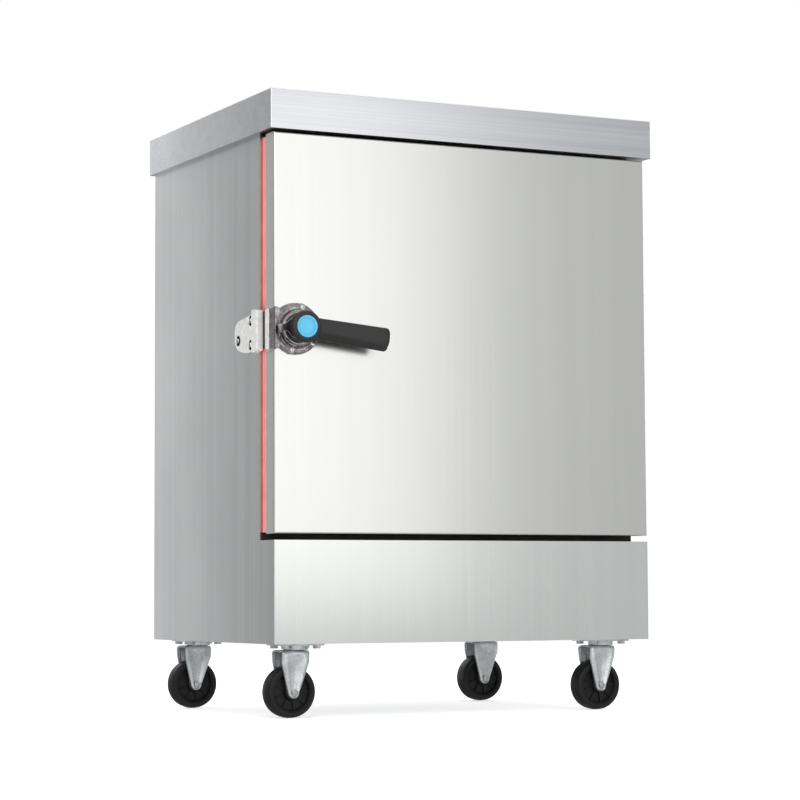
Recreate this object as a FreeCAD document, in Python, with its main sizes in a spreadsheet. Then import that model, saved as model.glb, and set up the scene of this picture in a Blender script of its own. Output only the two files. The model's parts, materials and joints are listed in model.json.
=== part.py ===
import FreeCAD, Part
import Sketcher
import os
import re

# Proofing cabinet on four swivel casters: an insulated box with one side-hung, gasketed door,
# a lever latch, tray racks above a heated water tank, and service fittings at the back.
# +Z is up, -Y is towards the door and +X is to the right of a person who faces the door.
# The origin is on the floor, under the centre of the body. Millimetres.

Vector = FreeCAD.Vector
Rotation = FreeCAD.Rotation

doc = FreeCAD.newDocument("proofing_cabinet")
nodes = []

# --------------------------------------------------------------------------------------
# Driving dimensions: name, value, what it is
# --------------------------------------------------------------------------------------
driving = [
    ("body_width", 700, "width of body and door"),
    ("body_depth", 530, "door face to back panel"),
    ("caster_height", 120, "floor to underside of the base"),
    ("base_height", 167, "base box"),
    ("door_gap", 10, "gap between base and door"),
    ("door_height", 650, "door"),
    ("cap_gap", 4, "gap between door and cap"),
    ("cap_height", 65.5, "skirt of the top cap"),
    ("cap_overhang", 10, "cap past the sides and the door face"),
    ("cap_back_overhang", 3, "cap past the back panel"),
    ("door_thickness", 32, "door pan"),
    ("seal_gap", 25, "door pan to face frame, filled by the gasket"),
    ("skin", 1.2, "outer sheet"),
    ("liner_skin", 1, "inner sheet"),
    ("side_wall", 42, "outer face to cavity at the sides"),
    ("back_wall", 40, "outer face to cavity at the back"),
    ("roof_wall", 46, "underside of the cap to cavity roof"),
    ("sill_height", 44, "top of the base to cavity floor"),
    ("panel_rise", 44, "how far the body panels reach up inside the cap"),
    ("bend_radius", 2.5, "outer radius of folded edges"),
    ("door_lip", 15, "return at the back of the door pan"),
    ("fit_gap", 0.4, "clearance between pieces that move past each other"),
    ("gasket_width", 22, "foot of the gasket"),
    ("gasket_inset", 2.5, "gasket edge to door edge"),
    ("gasket_round", 6, "rounded lip of the gasket"),
    ("plateau_height", 12, "raised field of the door liner"),
    ("plateau_gap", 4, "raised field to the walls of the cavity"),
    ("latch_inset", 37, "latch axis to the free edge of the door"),
    ("latch_rise", 330, "latch axis above the foot of the door"),
    ("rose_radius", 42, "latch base flange"),
    ("rose_thickness", 8, "latch base flange"),
    ("boss_radius", 29, "latch base boss"),
    ("boss_height", 10, "latch base boss above its flange"),
    ("spindle_radius", 7, "latch spindle"),
    ("running_gap", 0.05, "radial clearance of turning fits"),
    ("cam_thickness", 6, "cam plate"),
    ("cam_radius", 20, "round part of the cam"),
    ("cam_nose", 14, "width of the cam nose"),
    ("hub_radius", 26, "lever hub"),
    ("hub_height", 25, "lever hub"),
    ("lever_length", 145, "latch axis to lever tip"),
    ("lever_root", 34, "lever width at the hub"),
    ("lever_tip", 38, "lever width at the tip"),
    ("lever_thickness", 14, "lever"),
    ("lever_setback", 3, "face of the hub to the face of the lever"),
    ("lever_chamfer", 8, "lower corner of the lever tip"),
    ("lever_corner", 5, "upper corner of the lever tip"),
    ("lever_droop", 6, "rest angle below level, degrees"),
    ("disc_radius", 18, "coloured disc in the hub"),
    ("disc_sink", 4, "depth of the disc in the hub"),
    ("disc_proud", 1.5, "disc in front of the hub"),
    ("guard_sheet", 3, "latch guard"),
    ("guard_height", 56, "latch guard"),
    ("guard_return", 38, "part of the guard along the door edge"),
    ("strike_sheet", 3, "strike pad on the side panel"),
    ("strike_length", 108, "strike pad on the side panel"),
    ("strike_height", 64, "strike pad on the side panel"),
    ("strike_chamfer", 12, "corners of the strike pad"),
    ("strike_rib", 13, "how far the rib of the strike stands out"),
    ("strike_rib_depth", 18, "rib of the strike, along Y"),
    ("strike_rib_height", 72, "rib of the strike"),
    ("strike_setback", 1, "face frame to the strike pad"),
    ("strike_front_screw", 30, "front of the strike pad to its pair of screws"),
    ("strike_screw_spread", 20, "pair of screws above and below the latch axis"),
    ("strike_back_screw", 26, "back of the strike pad to its single screw"),
    ("strike_screw_drop", 9, "single screw below the latch axis"),
    ("hinge_offset", 9, "hinge axis out from the side panel"),
    ("hinge_setback", 45, "hinge axis behind the door face"),
    ("knuckle_radius", 7.5, "hinge knuckles"),
    ("hinge_pin_radius", 4, "hinge pins"),
    ("hinge_height", 90, "hinge leaves"),
    ("hinge_inset", 60, "end of a hinge to end of the door"),
    ("hinge_leaf", 3.5, "thickness of the hinge leaves"),
    ("hinge_leaf_length", 40, "fixed leaf behind the face frame"),
    ("hinge_leaf_setback", 8, "door face to the door leaf"),
    ("hinge_neck_setback", 6, "back of the door pan to the neck of the door leaf"),
    ("hinge_screw_setback", 17, "door face to the screws of the door leaf"),
    ("hinge_pin_head", 2.5, "head of the hinge pins"),
    ("caster_spread_x", 288, "swivel axis from the centre line"),
    ("caster_inset_y", 56, "swivel axis from the faces of the body"),
    ("caster_trail", 12, "swivel axis to wheel axis"),
    ("wheel_radius", 42.5, "wheel"),
    ("tread_width", 28, "wheel tread"),
    ("tread_round", 5, "rounded shoulders of the tread"),
    ("wheel_hub_radius", 13, "wheel hub"),
    ("wheel_hub_width", 34, "wheel hub"),
    ("axle_radius", 4, "wheel axle"),
    ("axle_head", 4, "head and nut of the axle"),
    ("fork_width", 44, "outside of the fork legs"),
    ("fork_leg", 40, "width of a fork leg at its shoulder"),
    ("fork_shoulder", 16, "height of the shoulder of a fork leg"),
    ("fork_eye", 9, "rounded foot of a fork leg"),
    ("fork_sheet", 2.5, "fork sheet"),
    ("fork_corner", 4, "rounded corners where the crown meets the legs"),
    ("kingpin_radius", 6, "kingpin of the swivel"),
    ("kingpin_head", 4, "rivet head under the fork"),
    ("kingpin_flare", 4, "rivet head around the kingpin"),
    ("mount_plate_length", 76, "caster mounting plate, along X"),
    ("mount_plate_width", 62, "caster mounting plate, along Y"),
    ("mount_plate_sheet", 3, "caster mounting plate"),
    ("bolt_spread_x", 56, "caster bolts, along X"),
    ("bolt_spread_y", 44, "caster bolts, along Y"),
    ("bolt_radius", 4, "caster bolts"),
    ("bolt_head", 5, "heads of the caster bolts"),
    ("bolt_nut", 6.5, "nuts of the caster bolts"),
    ("race_radius", 21, "swivel race"),
    ("race_height", 7, "swivel race"),
    ("base_sheet", 1.5, "floor of the base"),
    ("channel_sheet", 3, "channels over the casters"),
    ("channel_width", 78, "channels over the casters"),
    ("channel_height", 30, "channels over the casters"),
    ("cap_rail_width", 40, "rails between roof panel and cap"),
    ("cap_rail_sheet", 2, "rails between roof panel and cap"),
    ("post_thickness", 5, "rack posts"),
    ("post_width", 22, "rack posts"),
    ("post_setback", 40, "rack posts to the ends of the cavity"),
    ("runner_pitch", 85, "from tray level to tray level"),
    ("first_runner", 62, "cavity floor to the lowest runner"),
    ("runner_reach", 34, "shelf of a runner"),
    ("runner_sheet", 1.5, "sheet of a runner"),
    ("runner_lip", 12, "upright side of a runner"),
    ("runner_top_room", 60, "least height over the highest runner"),
    ("runner_front_gap", 14, "front of the cavity to the runners"),
    ("runner_back_gap", 8, "back of the cavity to the runners"),
    ("tank_width", 540, "water tank"),
    ("tank_depth", 350, "water tank"),
    ("tank_drop", 66, "water tank below the cavity floor"),
    ("tank_sheet", 1.2, "water tank"),
    ("tank_rim", 14, "rim of the tank on the cavity floor"),
    ("tank_gap", 2, "tank to the sheets and foam around it"),
    ("element_radius", 5, "sheath of the heating element"),
    ("element_rise", 12, "heating element above the floor of the tank"),
    ("element_spread", 60, "half the distance between the legs of the element"),
    ("element_length", 430, "straight legs of the element inside the tank"),
    ("element_tail", 26, "element past the wall of the tank"),
    ("baffle_rise", 22, "steam baffle above the cavity floor"),
    ("baffle_sheet", 1.2, "steam baffle"),
    ("baffle_slot", 12, "width of the slots in the baffle"),
    ("baffle_side_gap", 8, "steam baffle past the rim of the tank"),
    ("pipe_radius", 10.4, "water fittings, outside"),
    ("pipe_bore", 7.5, "water fittings, inside"),
    ("inlet_stub", 28, "water inlet past the back panel"),
    ("fill_gap", 24, "tank to the rising part of the filling pipe"),
    ("drain_setback", 40, "back of the tank to the drain"),
    ("fitting_nut", 8, "lock nut of the filling pipe"),
    ("valve_stub", 8, "drain pipe past the back panel"),
    ("valve_length", 36, "drain valve"),
    ("valve_socket", 13, "depth of the two mouths of the drain valve"),
    ("valve_neck_radius", 7, "neck of the drain valve"),
    ("valve_stem_radius", 3, "stem of the drain valve"),
    ("drain_lever_length", 62, "drain lever"),
    ("drain_lever_width", 12, "drain lever"),
    ("drain_lever_sheet", 3, "drain lever"),
    ("service_rise", 95, "water fittings above the underside of the base"),
    ("vent_radius", 15, "inside of the steam vent"),
    ("vent_wall", 1.5, "wall of the steam vent"),
    ("vent_stub", 26, "steam vent past the back panel"),
    ("vent_collar", 12, "collar of the steam vent, around its bore"),
    ("vent_nose", 3, "steam vent into the cavity"),
    ("vent_drop", 60, "steam vent below the roof of the cavity"),
    ("louvre_width", 120, "air slots in the back panel"),
    ("louvre_height", 5, "air slots in the back panel"),
    ("louvre_pitch", 12, "air slots in the back panel"),
    ("louvre_rise", 40, "underside of the base to the lowest air slot"),
    ("gland_bore", 5.5, "bore of the cable gland, radius"),
    ("gland_radius", 12, "cable gland nut"),
    ("gland_neck", 12, "threaded neck of the cable gland behind the panel"),
    ("gland_nut", 13, "nut of the cable gland"),
    ("gland_foot", 5, "hexagon foot of the cable gland"),
    ("gland_inset", 90, "cable gland to the right side"),
    ("gland_rise", 45, "cable gland above the underside of the base"),
    ("terminal_width", 70, "terminal box"),
    ("terminal_height", 60, "terminal box"),
    ("terminal_depth", 58, "terminal box"),
    ("knob_radius", 17, "control knobs"),
    ("knob_height", 18, "control knobs"),
    ("knob_round", 2, "outer edge of the control knobs"),
    ("shaft_radius", 3, "shaft of the control knob"),
    ("shaft_length", 26, "shaft of the control knob behind the right side"),
    ("thermostat_width", 40, "thermostat, along Y"),
    ("thermostat_height", 44, "thermostat"),
    ("thermostat_depth", 44, "thermostat, into the base"),
    ("switch_width", 21, "switch housing, along Y"),
    ("switch_height", 31, "switch housing"),
    ("switch_depth", 22, "switch housing, into the base"),
    ("switch_frame", 2, "rim of the switch housing"),
    ("switch_proud", 1.6, "switch housing in front of the control plate"),
    ("switch_well", 12, "well of the switch housing, into the base"),
    ("rocker_tilt", 6, "switch rocker at rest, degrees"),
    ("plate_sheet", 1.5, "control plate"),
    ("plate_width", 190, "control plate, along Y"),
    ("plate_height", 96, "control plate"),
    ("plate_margin", 14, "control plate around the opening behind it"),
    ("control_setback", 20, "control plate behind the middle of the cabinet"),
    ("screw_head_radius", 4.6, "pan-head screws"),
    ("screw_head_height", 2.8, "pan-head screws"),
    ("screw_radius", 2.5, "screw shanks"),
]

dims = doc.addObject("Spreadsheet::Sheet", "Dims")
for row, (name, value, words) in enumerate(driving, start=1):
    dims.set(f"A{row}", name)
    dims.set(f"B{row}", str(value))
    dims.set(f"C{row}", words)
    dims.setAlias(f"B{row}", name)
doc.recompute()


driving_names = [row[0] for row in driving]


def size(name):
    """A driving dimension as a number."""
    return float(dims.get(name))


# Levels and planes that many pieces share
half_w = "(body_width / 2)"
sheet_x = "(body_width / 2 - skin)"
face_y = "(-body_depth / 2)"
back_y = "(body_depth / 2)"
base_top = "(caster_height + base_height)"
door_low = f"({base_top} + door_gap)"
door_top = f"({door_low} + door_height)"
cap_low = f"({door_top} + cap_gap)"
cap_top = f"({cap_low} + cap_height)"
panel_top = f"({cap_low} + panel_rise)"
door_back = f"({face_y} + door_thickness)"
frame_y = f"({door_back} + seal_gap)"
cavity_x = "(body_width / 2 - side_wall)"
cavity_front = f"({frame_y} + skin)"
cavity_back = "(body_depth / 2 - back_wall)"
cavity_mid = f"(({cavity_front} + {cavity_back}) / 2)"
cavity_low = f"({base_top} + sill_height)"
cavity_top = f"({cap_low} - roof_wall)"
tank_low = f"({cavity_low} - tank_drop)"
liner_x = f"({cavity_x} + liner_skin)"
liner_back = f"({cavity_back} + liner_skin)"
liner_top = f"({cavity_top} + liner_skin)"
latch_x = "(-body_width / 2 + latch_inset)"
latch_z = f"({door_low} + latch_rise)"
rose_face = f"({face_y} - rose_thickness)"
boss_face = f"({rose_face} - boss_height)"
cam_back = f"({boss_face} - fit_gap)"
cam_front = f"({cam_back} - cam_thickness)"
hub_face = f"({cam_front} - hub_height)"
hinge_x = "(body_width / 2 + hinge_offset)"
hinge_y = f"({face_y} + hinge_setback)"
service_z = "(caster_height + service_rise)"


def d(text):
    """An expression in which each driving dimension's name stands for its cell."""
    for name in driving_names:
        text = re.sub(rf"(?<![\w.]){name}(?!\w)", "Dims." + name, text)
    return text


def value_of(text):
    """What an expression gives now."""
    return float(dims.evalExpression(d(text)))


# Building blocks
def place(piece, corner, rotation=None):
    """Binds where a piece stands, after turning it."""
    if rotation:
        piece.Placement = FreeCAD.Placement(Vector(), rotation)
    for axis, text in zip("xyz", corner):
        piece.setExpression("Placement.Base." + axis, d(text))
    return piece


def box(name, low, high):
    """A box between two corners."""
    piece = doc.addObject("Part::Box", name)
    for side, a, b in zip(("Length", "Width", "Height"), low, high):
        piece.setExpression(side, d(f"({b}) - ({a})"))
    return place(piece, low)


turned = {
    "X": Rotation(Vector(0, 1, 0), 90),
    "Y": Rotation(Vector(1, 0, 0), -90),
    "Z": Rotation(),
}


def rod(name, axis, start, radius, length):
    """A cylinder that runs from start along +X, +Y or +Z."""
    piece = doc.addObject("Part::Cylinder", name)
    piece.setExpression("Radius", d(radius))
    piece.setExpression("Height", d(length))
    return place(piece, start, turned[axis])


def prism(name, axis, start, corner_radius, length):
    """A hexagon bar, such as a bolt head, that runs from start along an axis."""
    piece = doc.addObject("Part::Prism", name)
    piece.Polygon = 6
    piece.setExpression("Circumradius", d(corner_radius))
    piece.setExpression("Height", d(length))
    return place(piece, start, turned[axis])


def ball(name, centre, radius):
    """A ball, such as the corner of a bent pipe."""
    piece = doc.addObject("Part::Sphere", name)
    piece.setExpression("Radius", d(radius))
    return place(piece, centre)


def fuse(name, *pieces):
    """Several pieces joined into one."""
    piece = doc.addObject("Part::MultiFuse", name)
    piece.Shapes = list(pieces)
    piece.Refine = True
    return piece


def cut(name, base, *tools):
    """A base with tools taken out of it."""
    piece = doc.addObject("Part::Cut", name)
    piece.Base = base
    piece.Tool = tools[0] if len(tools) == 1 else fuse(name + "_tools", *tools)
    piece.Refine = True
    return piece


def rounded(name, base, radius, choose):
    """A fillet of one size on the edges for which choose(edge) is true."""
    doc.recompute()
    piece = doc.addObject("Part::Fillet", name)
    piece.Base = base
    picked = [i for i, edge in enumerate(base.Shape.Edges, start=1) if choose(edge)]
    piece.Edges = [(i, radius, radius) for i in picked]
    return piece


def lies_at(edge, axis, place_text):
    """True for an edge that keeps to one coordinate."""
    level = value_of(place_text)
    low = getattr(edge.BoundBox, axis + "Min")
    high = getattr(edge.BoundBox, axis + "Max")
    return abs(low - level) < 1e-4 and abs(high - level) < 1e-4


def node(piece, name):
    """Keeps a piece as a sub-part under its own name."""
    piece.Label = name
    nodes.append(piece)
    return piece


def node_group(name, pieces):
    """Keeps identical solids, such as screws, as one sub-part."""
    piece = doc.addObject("Part::Compound", name + "_set")
    piece.Links = list(pieces)
    return node(piece, name)


def sketch_on(body, name, role, offset):
    """A sketch on one of the body's own origin planes, moved along its normal."""
    sketch = body.newObject("Sketcher::SketchObject", name)
    plane = next(f for f in body.Origin.OriginFeatures if f.Role == role)
    sketch.AttachmentSupport = [(plane, "")]
    sketch.MapMode = "FlatFace"
    sketch.setExpression("AttachmentOffset.Base.z", d(offset))
    return sketch


def polygon(corners, geometry, ties, expressions):
    """Adds a closed outline with a corner at each pair of expressions."""
    points = [Vector(value_of(x), value_of(y), 0) for x, y in corners]
    first = len(geometry)
    count = len(points)
    for i, (x, y) in enumerate(corners):
        follows = (i + 1) % count
        geometry.append(Part.LineSegment(points[i], points[follows]))
        ties.append(Sketcher.Constraint("Coincident", first + i, 2, first + follows, 1))
        for kind, text, now in (("DistanceX", x, points[i].x), ("DistanceY", y, points[i].y)):
            expressions[len(ties)] = d(text)
            ties.append(Sketcher.Constraint(kind, -1, 1, first + i, 1, now))


def circle(x, y, radius, geometry, ties, expressions):
    """Adds a circle with its centre and radius tied to expressions."""
    centre = Vector(value_of(x), value_of(y), 0)
    index = len(geometry)
    geometry.append(Part.Circle(centre, Vector(0, 0, 1), value_of(radius)))
    for kind, text, now in (("DistanceX", x, centre.x), ("DistanceY", y, centre.y)):
        expressions[len(ties)] = d(text)
        ties.append(Sketcher.Constraint(kind, -1, 1, index, 3, now))
    expressions[len(ties)] = d(radius)
    ties.append(Sketcher.Constraint("Radius", index, value_of(radius)))


def plate(name, role, low, high, outline, windows=(), holes=()):
    """A body with one pad: a flat piece between two levels, with windows and round holes."""
    body = doc.addObject("PartDesign::Body", name + "_body")
    backwards = role == "XZ_Plane"
    sketch = sketch_on(body, name + "_sketch", role, f"-({high})" if backwards else low)
    geometry, ties, expressions = [], [], {}
    for corners in (outline, *windows):
        polygon(corners, geometry, ties, expressions)
    for x, y, radius in holes:
        circle(x, y, radius, geometry, ties, expressions)
    sketch.addGeometry(geometry)
    sketch.addConstraint(ties)
    for index, text in expressions.items():
        sketch.setExpression(f"Constraints[{index}]", text)
    feature = body.newObject("PartDesign::Pad", name + "_pad")
    feature.Profile = sketch
    feature.setExpression("Length", d(f"({high}) - ({low})"))
    return body


def rectangle(x_low, y_low, x_high, y_high):
    """The corners of an upright rectangle."""
    return [(x_low, y_low), (x_high, y_low), (x_high, y_high), (x_low, y_high)]


def screw(name, axis, seat, length, side):
    """A pan-head screw: its head rests on the seat, its shank goes in along -side."""
    x, y, z = seat
    shift = {"X": (1, 0, 0), "Y": (0, 1, 0), "Z": (0, 0, 1)}[axis]
    head_from = "0" if side > 0 else "-screw_head_height"
    shank_from = f"-({length})" if side > 0 else "0"
    starts = []
    for way in (head_from, shank_from):
        starts.append([f"{c} + {s} * ({way})" for c, s in zip((x, y, z), shift)])
    head = rod(name + "_head", axis, starts[0], "screw_head_radius", "screw_head_height")
    shank = rod(name + "_shank", axis, starts[1], "screw_radius", length)
    return fuse(name, head, shank)


def pipe(name, points, radius, bore):
    """A pipe with runs along X, Y or Z and round corners."""
    solid = []
    hollow = []
    for i, (start, end) in enumerate(zip(points, points[1:])):
        axis = next(k for k in range(3) if start[k] != end[k])
        rising = value_of(end[axis]) > value_of(start[axis])
        low, high = (start, end) if rising else (end, start)
        length = f"{high[axis]} - ({low[axis]})"
        solid.append(rod(f"{name}_run{i}", "XYZ"[axis], low, radius, length))
        hollow.append(rod(f"{name}_bore{i}", "XYZ"[axis], low, bore, length))
        if i:
            solid.append(ball(f"{name}_turn{i}", start, radius))
            hollow.append(ball(f"{name}_bend{i}", start, bore))
    outside = fuse(name + "_outside", *solid) if len(solid) > 1 else solid[0]
    return cut(name, outside, *hollow)


# --------------------------------------------------------------------------------------
# Outer shell
# --------------------------------------------------------------------------------------
control_y = "control_setback"
control_z = "(caster_height + base_height / 2)"
inlet_x = "(-body_width / 4)"
drain_x = "(body_width / 4)"
gland_x = "(body_width / 2 - gland_inset)"
gland_z = "(caster_height + gland_rise)"
vent_z = f"({cavity_top} - vent_drop)"

# Strike screws: two near the front edge of the pad and one near its back edge
strike_low_z = f"({latch_z} - strike_height / 2)"
strike_front = f"({frame_y} + strike_setback)"
strike_screw_spots = [
    (f"({strike_front} + strike_front_screw)", f"({latch_z} - strike_screw_spread)"),
    (f"({strike_front} + strike_front_screw)", f"({latch_z} + strike_screw_spread)"),
    (f"({strike_front} + strike_length - strike_back_screw)", f"({latch_z} - strike_screw_drop)"),
]
hinge_lows = {
    "lower": f"({door_low} + hinge_inset)",
    "upper": f"({door_top} - hinge_inset - hinge_height)",
}
hinge_screw_rises = ["(hinge_height * 0.2)", "(hinge_height * 0.5)", "(hinge_height * 0.8)"]
fixed_screw_y = f"({frame_y} + hinge_leaf_length * 0.6)"
door_screw_y = f"({face_y} + hinge_screw_setback)"

side_outline = [
    (face_y, "caster_height"),
    (back_y, "caster_height"),
    (back_y, panel_top),
    (frame_y, panel_top),
    (frame_y, base_top),
    (face_y, base_top),
]
left_holes = [(y, z, "screw_radius") for y, z in strike_screw_spots]
node(
    plate("left_side", "YZ_Plane", f"-{half_w}", f"-{sheet_x}", side_outline, holes=left_holes),
    "left_side_panel",
)

hinge_holes = [
    (fixed_screw_y, f"{low} + {rise}", "screw_radius")
    for low in hinge_lows.values()
    for rise in hinge_screw_rises
]
control_window = rectangle(
    f"{control_y} - plate_width / 2 + plate_margin",
    f"{control_z} - plate_height / 2 + plate_margin",
    f"{control_y} + plate_width / 2 - plate_margin",
    f"{control_z} + plate_height / 2 - plate_margin",
)
node(
    plate("right_side", "YZ_Plane", sheet_x, half_w, side_outline, [control_window], hinge_holes),
    "right_side_panel",
)

louvre_count = 7
louvre_slots = [
    rectangle(
        "-louvre_width / 2",
        f"caster_height + louvre_rise + {i} * louvre_pitch",
        "louvre_width / 2",
        f"caster_height + louvre_rise + louvre_height + {i} * louvre_pitch",
    )
    for i in range(louvre_count)
]
node(
    plate(
        "back",
        "XZ_Plane",
        f"{back_y} - skin",
        back_y,
        rectangle(f"-{sheet_x}", "caster_height", sheet_x, panel_top),
        louvre_slots,
        [
            ("0", vent_z, "vent_radius + vent_wall"),
            (inlet_x, service_z, "pipe_radius"),
            (drain_x, service_z, "pipe_radius"),
            (gland_x, gland_z, "gland_bore + 3"),
        ],
    ),
    "back_panel",
)

front_pan = cut(
    "front_pan",
    box(
        "front_pan_outside",
        (f"-{sheet_x}", face_y, "caster_height"),
        (sheet_x, f"{face_y} + door_lip", base_top),
    ),
    box(
        "front_pan_inside",
        (f"-{sheet_x} + skin", f"{face_y} + skin", "caster_height + skin"),
        (f"{sheet_x} - skin", f"{face_y} + door_lip + 1", f"{base_top} - skin"),
    ),
)
node(front_pan, "base_front_panel")

# Floor and deck of the base
tank_mid_y = cavity_mid
tank_x = "(tank_width / 2)"
tank_front = f"({tank_mid_y} - tank_depth / 2)"
tank_back = f"({tank_mid_y} + tank_depth / 2)"
drain_y = f"({tank_back} - drain_setback)"
tank_window = rectangle(
    f"-{tank_x} - tank_gap",
    f"{tank_front} - tank_gap",
    f"{tank_x} + tank_gap",
    f"{tank_back} + tank_gap",
)
inner_front = f"({face_y} + door_lip)"
inner_back = f"({back_y} - skin)"
node(
    plate(
        "deck",
        "XY_Plane",
        f"{base_top} - skin",
        base_top,
        rectangle(f"-{sheet_x}", inner_front, sheet_x, inner_back),
        [tank_window],
    ),
    "base_deck",
)

corners = {
    "front_left": (-1, -1),
    "front_right": (1, -1),
    "rear_left": (-1, 1),
    "rear_right": (1, 1),
}
caster_row_y = {-1: f"({face_y} + caster_inset_y)", 1: f"({back_y} - caster_inset_y)"}
bolt_spots = {}
for corner, (side, end) in corners.items():
    bolt_spots[corner] = [
        (
            f"{side} * caster_spread_x + {i} * bolt_spread_x / 2",
            f"{caster_row_y[end]} + {j} * bolt_spread_y / 2",
        )
        for i in (-1, 1)
        for j in (-1, 1)
    ]
all_bolts = [spot for spots in bolt_spots.values() for spot in spots]
pan_top = "(caster_height + base_sheet)"
channel_top = f"({pan_top} + channel_height)"
node(
    plate(
        "base_floor",
        "XY_Plane",
        "caster_height",
        pan_top,
        rectangle(f"-{sheet_x}", inner_front, sheet_x, inner_back),
        holes=[(x, y, "bolt_radius") for x, y in all_bolts],
    ),
    "base_floor",
)

stiffeners = []
for end, word in ((-1, "front"), (1, "rear")):
    middle = caster_row_y[end]
    half_channel = "(channel_width / 2)"
    web = box(
        f"channel_{word}_outside",
        (f"-{sheet_x} + 1", f"{middle} - {half_channel}", pan_top),
        (f"{sheet_x} - 1", f"{middle} + {half_channel}", channel_top),
    )
    hollow = box(
        f"channel_{word}_inside",
        (f"-{sheet_x}", f"{middle} - {half_channel} + channel_sheet", f"{pan_top} + channel_sheet"),
        (sheet_x, f"{middle} + {half_channel} - channel_sheet", f"{channel_top} + 1"),
    )
    row_bolts = [spot for corner in corners if corners[corner][1] == end for spot in bolt_spots[corner]]
    drills = [
        rod(f"channel_{word}_hole{i}", "Z", (x, y, pan_top), "bolt_radius", "channel_sheet")
        for i, (x, y) in enumerate(row_bolts)
    ]
    stiffeners.append(cut(f"channel_{word}", web, hollow, *drills))

# Face frame around the cavity, roof and cap
node(
    plate(
        "face_frame_sheet",
        "XZ_Plane",
        frame_y,
        cavity_front,
        rectangle(f"-{sheet_x}", base_top, sheet_x, panel_top),
        [rectangle(f"-{cavity_x}", cavity_low, cavity_x, cavity_top)],
    ),
    "face_frame",
)
cap_x = "(body_width / 2 + cap_overhang)"
cap_front = f"({face_y} - cap_overhang)"
cap_back = f"({back_y} + cap_back_overhang)"
cap_shell = cut(
    "cap_shell",
    box("cap_outside", (f"-{cap_x}", cap_front, cap_low), (cap_x, cap_back, cap_top)),
    box(
        "cap_inside",
        (f"-{cap_x} + skin", f"{cap_front} + skin", f"{cap_low} - 1"),
        (f"{cap_x} - skin", f"{cap_back} - skin", f"{cap_top} - skin"),
    ),
)


def cap_fold(edge):
    """The outer edges of the top and the upright corners of the skirt."""
    on_sides = lies_at(edge, "X", cap_x) or lies_at(edge, "X", f"-{cap_x}")
    on_ends = lies_at(edge, "Y", cap_front) or lies_at(edge, "Y", cap_back)
    on_top = lies_at(edge, "Z", cap_top)
    return (on_sides and on_ends) or (on_top and (on_sides or on_ends))


cap_sheet = rounded("cap_sheet", cap_shell, size("bend_radius"), cap_fold)
cap_return = plate(
    "cap_return",
    "XY_Plane",
    cap_low,
    f"{cap_low} + skin",
    [
        (f"-{cap_x} + skin / 2", f"{cap_front} + skin / 2"),
        (f"{cap_x} - skin / 2", f"{cap_front} + skin / 2"),
        (f"{cap_x} - skin / 2", back_y),
        (half_w, back_y),
        (half_w, frame_y),
        (f"-{half_w}", frame_y),
        (f"-{half_w}", back_y),
        (f"-{cap_x} + skin / 2", back_y),
    ],
)
node(fuse("cap", cap_sheet, cap_return), "top_cap")
for side, word in ((-1, "left"), (1, "right")):
    rail_mid = f"({side} * body_width / 4)"
    rail = box(
        f"cap_rail_{word}_outside",
        (f"{rail_mid} - cap_rail_width / 2", cavity_front, panel_top),
        (f"{rail_mid} + cap_rail_width / 2", f"{back_y} - skin", f"{cap_top} - skin"),
    )
    rail_hollow = box(
        f"cap_rail_{word}_inside",
        (f"{rail_mid} - cap_rail_width / 2 + cap_rail_sheet", frame_y, f"{panel_top} - 1"),
        (f"{rail_mid} + cap_rail_width / 2 - cap_rail_sheet", back_y, f"{cap_top} - skin - cap_rail_sheet"),
    )
    stiffeners.append(cut(f"cap_rail_{word}_channel", rail, rail_hollow))
node_group("stiffener_channels", stiffeners)

# --------------------------------------------------------------------------------------
# Insulation and cavity liner
# --------------------------------------------------------------------------------------
liner_low = f"({cavity_low} - liner_skin)"
foam_block = box(
    "foam_block", (f"-{sheet_x}", cavity_front, base_top), (sheet_x, f"{back_y} - skin", panel_top)
)
foam_space = box(
    "foam_space", (f"-{liner_x}", frame_y, liner_low), (liner_x, liner_back, liner_top)
)
foam_well = box(
    "foam_well",
    (f"-{tank_x} - tank_gap", f"{tank_front} - tank_gap", f"{base_top} - 1"),
    (f"{tank_x} + tank_gap", f"{tank_back} + tank_gap", f"{liner_low} + 1"),
)
vent_pass = rod(
    "vent_pass", "Y", ("0", f"{cavity_back} - 1", vent_z), "vent_radius + vent_wall", "back_wall + 1"
)
node(cut("foam", foam_block, foam_space, foam_well, vent_pass), "cabinet_insulation")
for side, word in ((-1, "left"), (1, "right")):
    low_x, high_x = sorted((f"{side} * {liner_x}", f"{side} * {cavity_x}"), key=value_of)
    node(
        box(f"liner_{word}_sheet", (low_x, cavity_front, liner_low), (high_x, liner_back, liner_top)),
        f"liner_{word}",
    )
node(
    plate(
        "liner_back_sheet",
        "XZ_Plane",
        cavity_back,
        liner_back,
        rectangle(f"-{cavity_x}", liner_low, cavity_x, liner_top),
        holes=[("0", vent_z, "vent_radius + vent_wall")],
    ),
    "liner_back",
)
node(
    box("liner_top_sheet", (f"-{cavity_x}", cavity_front, cavity_top), (cavity_x, cavity_back, liner_top)),
    "liner_top",
)
node(
    plate(
        "liner_floor_sheet",
        "XY_Plane",
        liner_low,
        cavity_low,
        rectangle(f"-{cavity_x}", cavity_front, cavity_x, cavity_back),
        [tank_window],
    ),
    "liner_floor",
)

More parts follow.
